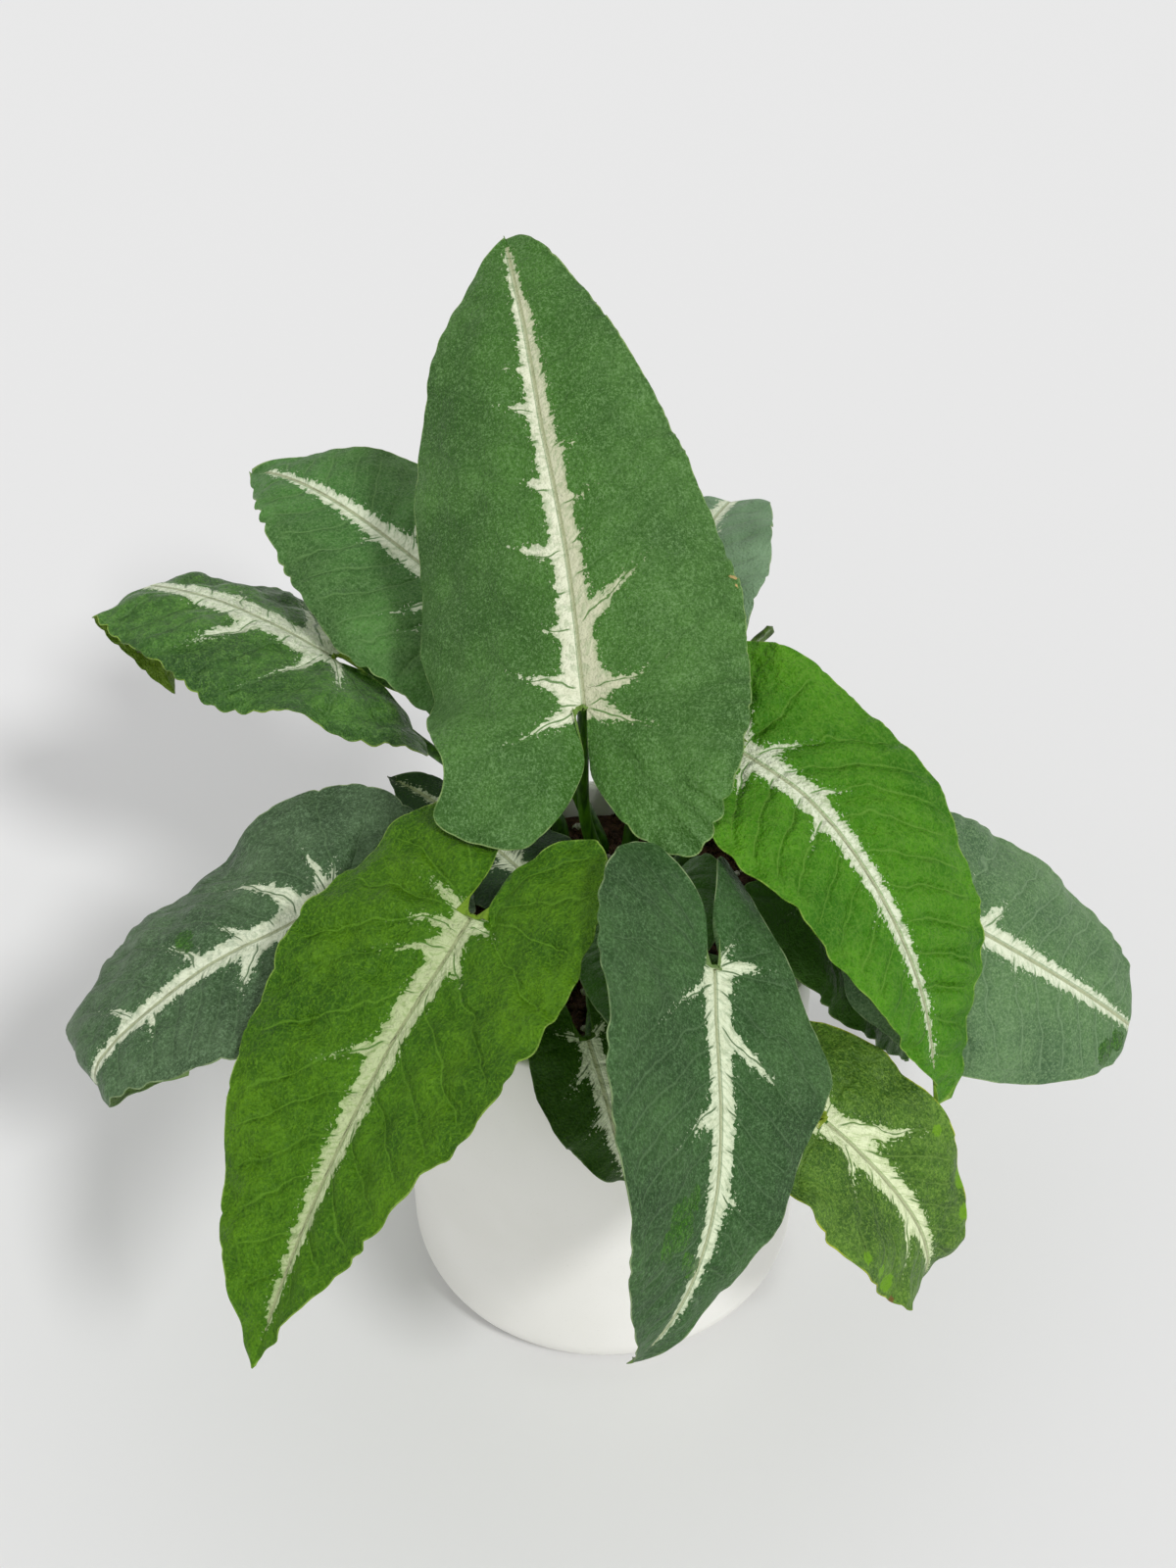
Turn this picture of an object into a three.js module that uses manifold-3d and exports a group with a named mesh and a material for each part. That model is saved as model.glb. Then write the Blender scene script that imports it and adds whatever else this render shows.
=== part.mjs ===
// Syngonium wendlandii in a plain round pot: fourteen arrowhead leaves on their stalks, one leaf
// still rolled, the soil that they stand in, and the pot. Millimetres, +Z up, origin at the middle
// of the pot's flat base.
import * as THREE from 'three';
import { mergeVertices } from 'three/addons/utils/BufferGeometryUtils.js';
import Module from 'manifold-3d';

const wasm = await Module();
wasm.setup();

// The pot
const potRadius = 62;
const potHeight = 140;
const potWall = 3.5;
const potFloor = 6;
const potFootRounding = 14;
const potFootSteps = 6;
const potRimRounding = 1.6;
const potRimBevel = 0.6;
const potCornerReach = 11;
const potCornerRise = 2.5;
const potSides = 64;

// The soil
const soilTop = 128;
const soilCrumbHeight = 1.1;
const soilRings = 8;
const soilSides = 48;
const soilFootInset = 12;
const holeHeadroom = 6;
const holeSides = 12;

// Stalks and blades
const bladeThickness = 0.7;
const ribsPerHalf = 26;
const ribsPerSmallHalf = 20;
const cellsAcross = [0, 0.42, 0.76, 1];
const midribShare = 0.57;
const stalkSides = 8;
const stalkSteps = 9;
const stalkFootRadius = 3.0;
const stalkTopRadius = 2.0;
const stalkDepth = 12;
const touchGap = 0.35;
const holeGap = 0.525;

// Greens of the upper sides, from the bright front leaf to the ones in shade
const brightGreen = '#41720b';
const midGreen = '#4a6e3a';
const greyGreen = '#4e6b4b';
const darkGreen = '#25380c';
const yellowGreen = '#55801f';

const radians = THREE.MathUtils.degToRad;
const smoothStep = THREE.MathUtils.smoothstep;

// What most leaves share. Lengths are from the stalk to the tip, widths from the midrib to the
// margin. Angles are in degrees. left and right are the leaf's own, seen from above with its tip
// pointing away. The blade arches down along its midrib, folds up from it like an open book and
// curls down again to the margin. Where bendBy is set, the tip is folded under past a line across
// the blade, at bendAt of the length.
const usualLeaf = {
  roll: 0,
  widest: 0.17, taper: [1.9, 1.9], blunt: 1,
  lobeAt: 0.4, lobeWidths: [1, 1], lobeCorners: [0.7, 0.7], sinus: [2.5, 2.5],
  archPower: 1.3, swing: 0, twist: 0, fold: 8, curl: 25, lobeFold: 14, lobeLift: [0, 0], droop: 25,
  bendAt: 0.8, bendSkew: 0, bendBy: 0, bendRadius: 6,
  wave: 1.3, waves: 5, phase: 0, ribs: ribsPerHalf,
  stalkVia: [],
};

// stalkBase is where the stalk stands in the soil, and stalkVia lists the points it bends through
const leaves = {
  leaf_tall: {
    joint: [-6, 6, 215], heading: 95, pitch: 33, roll: -18,
    length: 157, halfWidths: [56, 49], widest: 0.16, taper: [2, 1.1], blunt: 0.7,
    lobes: [40, 46], lobeWidths: [0.8, 1], lobeCorners: [0.98, 0.74], lobeAt: 0.54,
    sinus: [2.2, 0.6], arch: 23, archPower: 3.7, swing: 10, twist: 2, fold: 1, curl: 45,
    lobeFold: 18, lobeLift: [22, 0], droop: 17,
    wave: 1.6, waves: 6,
    colour: midGreen, stalkBase: [0, 22], stalkVia: [[-6, 18, 165]],
  },
  leaf_back_left: {
    joint: [-39, 82, 191], heading: 139, pitch: 16, roll: -10,
    length: 105, halfWidths: [39, 38], lobes: [34, 34], taper: [1.7, 1.9],
    arch: 47, archPower: 2.7, swing: 4, curl: 27, lobeFold: 2,
    phase: 1,
    colour: midGreen, stalkBase: [-2, 38], stalkVia: [[-18, 55, 166]],
  },
  leaf_left_upper: {
    joint: [-84, 76, 178], heading: 155, pitch: 17, roll: 14,
    length: 107, halfWidths: [38, 36], widest: 0.16, taper: [1.7, 1.6],
    lobes: [44, 40], lobeAt: 0.58, sinus: [1.3, 1.3],
    arch: 46, swing: -6, twist: -2, fold: -2, curl: 28, lobeFold: 11, droop: 22,
    bendAt: 0.61, bendSkew: -16, bendBy: 129, bendRadius: 5.5,
    phase: 2,
    colour: midGreen, stalkBase: [-13, 34], stalkVia: [[-17, 38, 148], [-40, 48, 152], [-66, 64, 163]],
  },
  leaf_left_lower: {
    joint: [-77, -20, 165], heading: 218, pitch: 2, roll: -3,
    length: 112, halfWidths: [41, 43], lobes: [37, 37], widest: 0.15, taper: [1.4, 2.4], lobeAt: 0.33,
    arch: 41, archPower: 1.4, swing: 2, twist: 24, fold: 5, curl: 37, lobeFold: 24, droop: 21,
    bendAt: 0.685, bendBy: 150,
    phase: 3,
    colour: greyGreen, stalkBase: [-20, -8], stalkVia: [[-42, -16, 149]],
  },
  leaf_front_left: {
    joint: [-36, -51, 189], heading: 238, pitch: -20, roll: 6,
    length: 127, halfWidths: [42, 43], lobes: [33, 38], taper: [1.8, 2.2], lobeAt: 0.5, sinus: [4.5, 4.5],
    arch: 21, swing: 4, twist: 12, fold: 15, curl: 13, lobeFold: 17, lobeLift: [0, -13], droop: 46,
    phase: 4,
    colour: brightGreen, stalkBase: [-11, -17], stalkVia: [[-22, -32, 163]],
  },
  leaf_front: {
    joint: [28, -64, 183], heading: 271, pitch: -19, roll: -38,
    length: 114, halfWidths: [37, 43], lobes: [38, 36], lobeWidths: [0.62, 1], taper: [1.3, 2.4],
    sinus: [2, 2],
    arch: 86, archPower: 1.9, swing: 17, twist: -12, curl: 4, lobeFold: 6, droop: 56,
    phase: 5,
    colour: greyGreen, stalkBase: [22, -14], stalkVia: [[37, -36, 155]],
  },
  leaf_right: {
    joint: [38, 5, 199], heading: -40, pitch: -5, roll: 5,
    length: 126, halfWidths: [38, 31], lobes: [39, 20], widest: 0.16, taper: [2, 2.3],
    arch: 84, archPower: 1.1, swing: -17, twist: -17, fold: 2, curl: 1,
    lobeFold: -10, lobeLift: [24, 0], droop: 50,
    phase: 6,
    colour: brightGreen, stalkBase: [16, 14], stalkVia: [[24, 17, 164]],
  },
  leaf_far_right: {
    joint: [94, -16, 158], heading: -2, pitch: -33, roll: 30,
    length: 104, halfWidths: [39, 41], lobes: [28, 26], taper: [2.2, 1.9],
    arch: 30, swing: 8, twist: 4, fold: 0, curl: 37, lobeFold: 0, droop: 80,
    bendAt: 0.82, bendSkew: -3, bendBy: 109,
    phase: 7,
    colour: greyGreen, stalkBase: [16, 4], stalkVia: [[21, 5, 156], [36, 9, 169], [63, 2, 174]],
  },
  leaf_front_right: {
    joint: [59, -74, 135], heading: -21, pitch: -40, roll: 5,
    length: 85, halfWidths: [28, 30], lobes: [36, 27], lobeWidths: [1.15, 1], widest: 0.19, taper: [1.7, 2.1],
    arch: 84, archPower: 1.8, swing: 8, twist: 24, fold: 12, curl: 6, lobeFold: 0, droop: 74,
    wave: 1.8, phase: 8,
    colour: yellowGreen, stalkBase: [12, -22], stalkVia: [[36, -54, 150]],
  },
  leaf_back_right: {
    joint: [18, 60, 204], heading: 74, pitch: 14, roll: -18,
    length: 82, halfWidths: [27, 27], lobes: [20, 20],
    arch: 36, swing: -4, lobeFold: 4,
    bendAt: 0.71, bendSkew: -11, bendBy: 120, bendRadius: 5,
    phase: 9,
    colour: greyGreen, stalkBase: [8, 36], stalkVia: [[12, 47, 165]],
  },
  leaf_under_right: {
    joint: [59, -14, 162], heading: -10, pitch: -46, roll: 7,
    length: 76, halfWidths: [27, 27], lobes: [19, 21],
    arch: 41, curl: 30, lobeFold: 0, droop: 110,
    phase: 10,
    colour: darkGreen, stalkBase: [26, -4], stalkVia: [[42, -12, 150]],
  },
  leaf_over_rim: {
    joint: [-5, -60, 152], heading: -64, pitch: -45, roll: 12,
    length: 52, halfWidths: [18, 18], lobes: [17, 17],
    arch: 64, curl: 24, lobeFold: 8,
    waves: 4, phase: 11, ribs: ribsPerSmallHalf,
    colour: darkGreen, stalkBase: [-2, -26], stalkVia: [[-4, -48, 149]],
  },
  leaf_under_left: {
    joint: [-24, 10, 148], heading: 137, pitch: 16,
    length: 57, halfWidths: [20, 20], lobes: [18, 18], widest: 0.16, taper: [1.6, 1.9],
    arch: 23, swing: 4, fold: 5, lobeFold: 18,
    waves: 4, phase: 12, ribs: ribsPerSmallHalf,
    colour: darkGreen, stalkBase: [-10, 4],
  },
  leaf_under_front: {
    joint: [14, -23, 171], heading: -103, pitch: 7, roll: 13,
    length: 57, halfWidths: [21, 21], lobes: [19, 19],
    arch: 10, curl: 24, lobeFold: 12, droop: 22,
    waves: 4, phase: 13, ribs: ribsPerSmallHalf,
    colour: greyGreen, stalkBase: [8, -6],
  },
};

// The rolled leaf: a slim spear that leans away to the back right
const rolledLeaf = {
  base: [18, 24], via: [[30, 42, 158], [43, 70, 181]], tip: [51, 78, 187],
  footRadius: 2.4, bellyRadius: 2.5, tipRadius: 1.7,
};

// A closed solid from a three.js geometry, for cutting and joining
function solidOf(geometry) {
  const bare = geometry.clone();
  bare.deleteAttribute('normal');
  bare.deleteAttribute('uv');
  const merged = mergeVertices(bare, 1e-4);
  const mesh = new wasm.Mesh({
    numProp: 3,
    vertProperties: new Float32Array(merged.attributes.position.array),
    triVerts: new Uint32Array(merged.index.array),
  });
  return new wasm.Manifold(mesh);
}

function geometryOf(solid) {
  const mesh = solid.getMesh();
  const geometry = new THREE.BufferGeometry();
  geometry.setAttribute('position', new THREE.BufferAttribute(new Float32Array(mesh.vertProperties), 3));
  geometry.setIndex(new THREE.BufferAttribute(new Uint32Array(mesh.triVerts), 1));
  return geometry;
}

function indexedGeometry(positions, triangles) {
  const geometry = new THREE.BufferGeometry();
  geometry.setAttribute('position', new THREE.Float32BufferAttribute(positions, 3));
  geometry.setIndex(triangles);
  return geometry;
}

// Half of the flat blade's margin, from the tip round the lobe to the sinus where the stalk joins
function marginPoints(leaf, half) {
  const length = leaf.length;
  const width = leaf.halfWidths[half];
  const lobe = leaf.lobes[half];
  const taper = leaf.taper[half];
  const widestAt = leaf.widest * length;
  const points = [];
  const stations = 13;
  for (let i = stations; i >= 0; i -= 1) {
    const along = Math.sin((i / stations) * Math.PI / 2);
    const aside = width * (1 - along ** taper) ** leaf.blunt;
    points.push(new THREE.Vector2(widestAt + (length - widestAt) * along, aside));
  }
  const sinus = leaf.sinus[half];
  const lobeWidth = width * leaf.lobeWidths[half];
  points.push(new THREE.Vector2(-0.35 * lobe, 0.9 * lobeWidth));
  points.push(new THREE.Vector2(-0.76 * lobe, leaf.lobeCorners[half] * lobeWidth));
  points.push(new THREE.Vector2(-lobe, leaf.lobeAt * lobeWidth));
  points.push(new THREE.Vector2(-0.86 * lobe, 0.5 * leaf.lobeAt * lobeWidth + 0.3 * sinus));
  points.push(new THREE.Vector2(-0.45 * lobe, sinus));
  points.push(new THREE.Vector2(-0.12 * lobe, 1.1 * sinus));
  points.push(new THREE.Vector2(0, 0));
  return new THREE.SplineCurve(points).getSpacedPoints(leaf.ribs);
}

// The three directions of a leaf where its stalk joins: along it, to its left, and up from it
function leafAxes(leaf) {
  const heading = radians(leaf.heading);
  const pitch = radians(leaf.pitch);
  const roll = radians(leaf.roll);
  const along = new THREE.Vector3(
    Math.cos(pitch) * Math.cos(heading), Math.cos(pitch) * Math.sin(heading), Math.sin(pitch));
  const level = new THREE.Vector3(-Math.sin(heading), Math.cos(heading), 0);
  const above = new THREE.Vector3().crossVectors(along, level);
  const left = level.clone().multiplyScalar(Math.cos(roll)).addScaledVector(above, Math.sin(roll));
  const up = above.clone().multiplyScalar(Math.cos(roll)).addScaledVector(level, -Math.sin(roll));
  return { along, left, up };
}

// The midrib as a bent line, in steps from behind the stalk to past the tip
function midribSteps(leaf) {
  const count = 80;
  const first = -0.6;
  const last = 1.05;
  const step = (last - first) / (count - 1);
  const steps = [];
  let point = new THREE.Vector3();
  let before = null;
  for (let i = 0; i < count; i += 1) {
    const share = first + step * i;
    const down = share >= 0 ? radians(leaf.arch) * share ** leaf.archPower : radians(leaf.droop) * share;
    const aside = radians(leaf.swing) * Math.max(share, 0);
    const way = new THREE.Vector3(
      Math.cos(down) * Math.cos(aside), Math.cos(down) * Math.sin(aside), -Math.sin(down));
    if (before) {
      point = point.clone().addScaledVector(before.clone().add(way), 0.5 * step * leaf.length);
    }
    before = way;
    steps.push({ share, down, aside, point });
  }
  return steps;
}

function between(a, b, t) {
  return a + (b - a) * t;
}

// The midrib's place, dip and turn at one share of the length
function midribAt(steps, share) {
  const place = (share - steps[0].share) / (steps[1].share - steps[0].share);
  const i = Math.min(Math.max(Math.floor(place), 0), steps.length - 2);
  const t = place - i;
  return {
    down: between(steps[i].down, steps[i + 1].down, t),
    aside: between(steps[i].aside, steps[i + 1].aside, t),
    point: steps[i].point.clone().lerp(steps[i + 1].point, t),
  };
}

// A function that turns a flat point of the blade (x along, y to the left) into a place in space.
// reach is the share of the way from midrib to margin, and round is the share of the way round it.
function bladeSurface(leaf) {
  const axes = leafAxes(leaf);
  const steps = midribSteps(leaf);
  const origin = midribAt(steps, 0).point;
  const joint = new THREE.Vector3(...leaf.joint);

  function bent(x, y, reach, round) {
    const side = y < 0 ? -1 : 1;
    const half = side > 0 ? 0 : 1;
    const width = leaf.halfWidths[half];
    const share = x / leaf.length;
    const rib = midribAt(steps, share);
    const lobeFold = leaf.lobeFold + leaf.lobeLift[half];
    const fold = radians(between(leaf.fold, lobeFold, 1 - smoothStep(share, -0.1, 0.12)));
    const curl = radians(leaf.curl) / width;
    const slope = fold - curl * Math.abs(y);
    const out = side * (Math.sin(fold) - Math.sin(slope)) / curl;
    const turn = 2 * Math.PI * leaf.waves * round + leaf.phase + (side > 0 ? 1.3 : 0);
    const rise = (Math.cos(slope) - Math.cos(fold)) / curl + leaf.wave * reach ** 2.5 * Math.sin(turn);
    const twist = radians(leaf.twist) * share;
    const across = Math.cos(twist) * out - Math.sin(twist) * rise;
    const above = Math.sin(twist) * out + Math.cos(twist) * rise;
    const local = rib.point.clone().sub(origin);
    local.x += -Math.sin(rib.aside) * across + Math.sin(rib.down) * Math.cos(rib.aside) * above;
    local.y += Math.cos(rib.aside) * across + Math.sin(rib.down) * Math.sin(rib.aside) * above;
    local.z += Math.cos(rib.down) * above;
    return joint.clone().addScaledVector(axes.along, local.x)
      .addScaledVector(axes.left, local.y).addScaledVector(axes.up, local.z);
  }

  if (!leaf.bendBy) {
    return bent;
  }
  const skew = radians(leaf.bendSkew);
  const acrossLine = new THREE.Vector2(Math.cos(skew), Math.sin(skew));
  const nudge = 0.5;
  return function foldedUnder(x, y, reach, round) {
    const past = (x - leaf.bendAt * leaf.length) * acrossLine.x + y * acrossLine.y;
    if (past <= 0) {
      return bent(x, y, reach, round);
    }
    const footX = x - past * acrossLine.x;
    const footY = y - past * acrossLine.y;
    const foot = bent(footX, footY, reach, round);
    const onward = bent(footX + nudge * acrossLine.x, footY + nudge * acrossLine.y, reach, round)
      .sub(bent(footX - nudge * acrossLine.x, footY - nudge * acrossLine.y, reach, round)).normalize();
    const beside = bent(footX - nudge * acrossLine.y, footY + nudge * acrossLine.x, reach, round)
      .sub(bent(footX + nudge * acrossLine.y, footY - nudge * acrossLine.x, reach, round));
    const normal = new THREE.Vector3().crossVectors(onward, beside).normalize();
    const turned = Math.min(past / leaf.bendRadius, radians(leaf.bendBy));
    const rest = past - leaf.bendRadius * turned;
    const forward = leaf.bendRadius * Math.sin(turned) + rest * Math.cos(turned);
    const under = leaf.bendRadius * (1 - Math.cos(turned)) + rest * Math.sin(turned);
    return foot.addScaledVector(onward, forward).addScaledVector(normal, -under);
  };
}

// The blade's middle surface: ribs from the midrib to the margin, and a fan round the stalk's joint
function bladeSheet(leaf) {
  const surface = bladeSurface(leaf);
  const positions = [];
  const triangles = [];
  const known = new Map();

  function vertex(x, y, reach, round) {
    const key = `${x.toFixed(3)} ${y.toFixed(3)}`;
    if (!known.has(key)) {
      known.set(key, positions.length / 3);
      positions.push(...surface(x, y, reach, round).toArray());
    }
    return known.get(key);
  }

  function addTriangle(a, b, c) {
    if (a !== b && b !== c && c !== a) {
      triangles.push(a, b, c);
    }
  }

  for (const half of [0, 1]) {
    const side = half === 0 ? 1 : -1;
    const margin = marginPoints(leaf, half);
    const ribs = [];
    for (let i = 0; i < leaf.ribs; i += 1) {
      const round = i / leaf.ribs;
      const inner = leaf.length * Math.max(0, 1 - round / midribShare);
      ribs.push(cellsAcross.map((t) => vertex(
        between(inner, margin[i].x, t), side * margin[i].y * t + 0, t, round)));
    }
    for (let i = 0; i + 1 < ribs.length; i += 1) {
      for (let j = 0; j + 1 < cellsAcross.length; j += 1) {
        const corners = [ribs[i][j], ribs[i + 1][j], ribs[i + 1][j + 1], ribs[i][j + 1]];
        if (side > 0) {
          corners.reverse();
        }
        addTriangle(corners[0], corners[1], corners[2]);
        addTriangle(corners[0], corners[2], corners[3]);
      }
    }
  }
  return indexedGeometry(positions, triangles);
}

// A sheet made solid: the same triangles above and below, and a wall along every open edge
function thickened(sheet, thickness) {
  sheet.computeVertexNormals();
  const { position, normal } = sheet.attributes;
  const count = position.count;
  const index = Array.from(sheet.index.array);
  const positions = [];
  for (const way of [0.5, -0.5]) {
    for (let i = 0; i < count; i += 1) {
      const place = new THREE.Vector3().fromBufferAttribute(position, i);
      const out = new THREE.Vector3().fromBufferAttribute(normal, i);
      positions.push(...place.addScaledVector(out, way * thickness).toArray());
    }
  }
  const triangles = [...index];
  const openEdges = new Map();
  for (let i = 0; i < index.length; i += 3) {
    const corners = [index[i], index[i + 1], index[i + 2]];
    triangles.push(corners[0] + count, corners[2] + count, corners[1] + count);
    for (let k = 0; k < 3; k += 1) {
      const a = corners[k];
      const b = corners[(k + 1) % 3];
      if (!openEdges.delete(`${b} ${a}`)) {
        openEdges.set(`${a} ${b}`, [a, b]);
      }
    }
  }
  for (const [a, b] of openEdges.values()) {
    triangles.push(a, a + count, b + count);
    triangles.push(a, b + count, b);
  }
  return indexedGeometry(positions, triangles);
}

// A round tapering tube with closed ends, along points, with a radius for each
function taperedTube(points, radii, sides) {
  const positions = [];
  const triangles = [];
  let across = new THREE.Vector3(1, 0, 0);
  for (let i = 0; i < points.length; i += 1) {
    const after = points[Math.min(i + 1, points.length - 1)];
    const way = after.clone().sub(points[Math.max(i - 1, 0)]).normalize();
    across = across.addScaledVector(way, -across.dot(way)).normalize();
    const other = new THREE.Vector3().crossVectors(way, across);
    for (let k = 0; k < sides; k += 1) {
      const angle = (2 * Math.PI * k) / sides;
      const place = points[i].clone().addScaledVector(across, radii[i] * Math.cos(angle));
      place.addScaledVector(other, radii[i] * Math.sin(angle));
      positions.push(...place.toArray());
    }
  }
  for (let i = 0; i + 1 < points.length; i += 1) {
    for (let k = 0; k < sides; k += 1) {
      const a = i * sides + k;
      const b = i * sides + (k + 1) % sides;
      triangles.push(a, b, b + sides, a, b + sides, a + sides);
    }
  }
  const lastRing = (points.length - 1) * sides;
  for (let k = 1; k + 1 < sides; k += 1) {
    triangles.push(0, k + 1, k);
    triangles.push(lastRing, lastRing + k, lastRing + k + 1);
  }
  return indexedGeometry(positions, triangles);
}

// A stalk's way: straight up out of its hole, then through its points to the joint
function stalkPoints(base, via, end) {
  const foot = new THREE.Vector3(base[0], base[1], soilTop - stalkDepth + touchGap);
  const clear = new THREE.Vector3(base[0], base[1], soilTop + 3);
  const route = [clear, new THREE.Vector3(base[0], base[1], soilTop + 9)];
  route.push(...via.map((place) => new THREE.Vector3(...place)), new THREE.Vector3(...end));
  const curve = new THREE.CatmullRomCurve3(route, false, 'catmullrom', 0.5);
  return [foot, ...curve.getSpacedPoints(stalkSteps)];
}

function stalkGeometry(leaf) {
  const points = stalkPoints(leaf.stalkBase, leaf.stalkVia, leaf.joint);
  const radii = points.map((point, i) => {
    const share = i / (points.length - 1);
    return between(stalkFootRadius, stalkTopRadius, smoothStep(share, 0.1, 0.6));
  });
  return taperedTube(points, radii, stalkSides);
}

function leafGeometry(leaf) {
  const blade = solidOf(thickened(bladeSheet(leaf), bladeThickness));
  const joined = blade.add(solidOf(stalkGeometry(leaf)));
  const [whole] = joined.decompose().sort((a, b) => b.volume() - a.volume());
  return geometryOf(whole);
}

function rolledLeafGeometry() {
  const points = stalkPoints(rolledLeaf.base, rolledLeaf.via, rolledLeaf.tip);
  const radii = points.map((point, i) => {
    const share = i / (points.length - 1);
    const belly = between(rolledLeaf.footRadius, rolledLeaf.bellyRadius, smoothStep(share, 0.3, 0.6));
    return between(belly, rolledLeaf.tipRadius, smoothStep(share, 0.7, 1));
  });
  return taperedTube(points, radii, stalkSides);
}

// The pot: straight wall, rounded foot, flat base, thin rounded rim
function potGeometry() {
  const profile = [new THREE.Vector2(0, 0)];
  const footCentre = potRadius - potFootRounding;
  for (let i = 0; i <= potFootSteps; i += 1) {
    const angle = (i / potFootSteps) * Math.PI / 2;
    profile.push(new THREE.Vector2(
      footCentre + potFootRounding * Math.sin(angle), potFootRounding * (1 - Math.cos(angle))));
  }
  const inside = potRadius - potWall;
  for (const angle of [0, 45, 90]) {
    profile.push(new THREE.Vector2(
      potRadius - potRimRounding * (1 - Math.cos(radians(angle))),
      potHeight - potRimRounding * (1 - Math.sin(radians(angle)))));
  }
  profile.push(new THREE.Vector2(inside + potRimBevel, potHeight));
  profile.push(new THREE.Vector2(inside, potHeight - potRimBevel));
  profile.push(new THREE.Vector2(inside, potFootRounding));
  profile.push(new THREE.Vector2(inside - potCornerReach / 2, potFloor + potCornerRise));
  profile.push(new THREE.Vector2(inside - potCornerReach, potFloor));
  profile.push(new THREE.Vector2(0, potFloor));
  return new THREE.LatheGeometry(profile, potSides).rotateX(Math.PI / 2);
}

// Low crumbs over the top of the soil, the same each time
function crumbHeight(x, y) {
  const broad = Math.sin(0.31 * x + 1.7) * Math.cos(0.27 * y - 0.6);
  const fine = Math.sin(0.83 * x - 0.9 * y) * Math.cos(0.71 * y + 0.4 * x);
  return soilCrumbHeight * (0.6 * broad + 0.4 * fine);
}

// The soil fills the pot up to soilTop, with a plain hole for each stalk
function soilGeometry() {
  const radius = potRadius - potWall - touchGap;
  const underside = potFloor + touchGap;
  const positions = [0, 0, soilTop + crumbHeight(0, 0)];
  const triangles = [];
  function addRing(ringRadius, height) {
    const first = positions.length / 3;
    for (let k = 0; k < soilSides; k += 1) {
      const angle = (2 * Math.PI * k) / soilSides;
      const x = ringRadius * Math.cos(angle);
      const y = ringRadius * Math.sin(angle);
      positions.push(x, y, height(x, y));
    }
    return first;
  }
  let inner = addRing(radius / soilRings, (x, y) => soilTop + crumbHeight(x, y));
  for (let k = 0; k < soilSides; k += 1) {
    triangles.push(0, inner + k, inner + (k + 1) % soilSides);
  }
  function joinTo(outer) {
    for (let k = 0; k < soilSides; k += 1) {
      const next = (k + 1) % soilSides;
      triangles.push(inner + k, outer + k, outer + next, inner + k, outer + next, inner + next);
    }
    inner = outer;
  }
  for (let ring = 2; ring <= soilRings; ring += 1) {
    joinTo(addRing((radius * ring) / soilRings, (x, y) => soilTop + crumbHeight(x, y)));
  }
  joinTo(addRing(radius, () => potFootRounding + 1));
  joinTo(addRing(radius - soilFootInset, () => underside));
  const bottom = positions.length / 3;
  positions.push(0, 0, underside);
  for (let k = 0; k < soilSides; k += 1) {
    triangles.push(bottom, inner + (k + 1) % soilSides, inner + k);
  }
  let soil = solidOf(indexedGeometry(positions, triangles));
  const feet = Object.values(leaves).map((leaf) => [...leaf.stalkBase, stalkFootRadius]);
  feet.push([...rolledLeaf.base, rolledLeaf.footRadius]);
  for (const [x, y, footRadius] of feet) {
    const depth = stalkDepth + holeHeadroom;
    const hole = new THREE.CylinderGeometry(footRadius + holeGap, footRadius + holeGap, depth, holeSides);
    hole.rotateX(Math.PI / 2);
    hole.translate(x, y, soilTop - stalkDepth + depth / 2);
    soil = soil.subtract(solidOf(hole));
  }
  return geometryOf(soil);
}

const plant = new THREE.Group();

function addPiece(name, geometry, colour, roughness) {
  const material = new THREE.MeshStandardMaterial({ color: colour, roughness, metalness: 0 });
  const mesh = new THREE.Mesh(geometry, material);
  mesh.name = name;
  plant.add(mesh);
}

addPiece('pot', potGeometry(), '#d6d5d0', 0.35);
addPiece('soil', soilGeometry(), '#3a2118', 0.95);
for (const [name, own] of Object.entries(leaves)) {
  addPiece(name, leafGeometry({ ...usualLeaf, ...own }), own.colour, 0.5);
}
addPiece('rolled_leaf', rolledLeafGeometry(), '#3d5a1e', 0.5);

export default plant;
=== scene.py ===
import math
import bpy
import numpy as np
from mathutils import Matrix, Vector


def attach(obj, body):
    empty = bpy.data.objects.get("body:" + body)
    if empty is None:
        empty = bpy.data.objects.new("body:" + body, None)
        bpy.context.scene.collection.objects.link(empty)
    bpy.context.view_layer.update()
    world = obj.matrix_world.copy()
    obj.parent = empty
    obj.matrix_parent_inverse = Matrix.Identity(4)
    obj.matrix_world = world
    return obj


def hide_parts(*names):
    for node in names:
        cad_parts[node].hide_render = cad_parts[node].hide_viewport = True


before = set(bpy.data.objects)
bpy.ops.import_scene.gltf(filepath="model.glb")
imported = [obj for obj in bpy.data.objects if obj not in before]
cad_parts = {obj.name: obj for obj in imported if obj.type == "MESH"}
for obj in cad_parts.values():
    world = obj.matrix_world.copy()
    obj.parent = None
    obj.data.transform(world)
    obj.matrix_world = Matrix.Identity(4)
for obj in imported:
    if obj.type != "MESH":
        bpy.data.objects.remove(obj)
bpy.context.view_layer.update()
scene = bpy.context.scene
metresPerMm = 0.001
print("frame loaded:", len(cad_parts), "nodes")


def smoothStep(value, low, high):
    t = np.clip((value - low) / (high - low), 0, 1)
    return t * t * (3 - 2 * t)


def colour(red, green, blue):  # a colour as it shows on a screen, made linear
    parts = [c / 255 for c in (red, green, blue)]
    return tuple(c / 12.92 if c < 0.04045 else ((c + 0.055) / 1.055) ** 2.4 for c in parts) + (1,)


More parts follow.
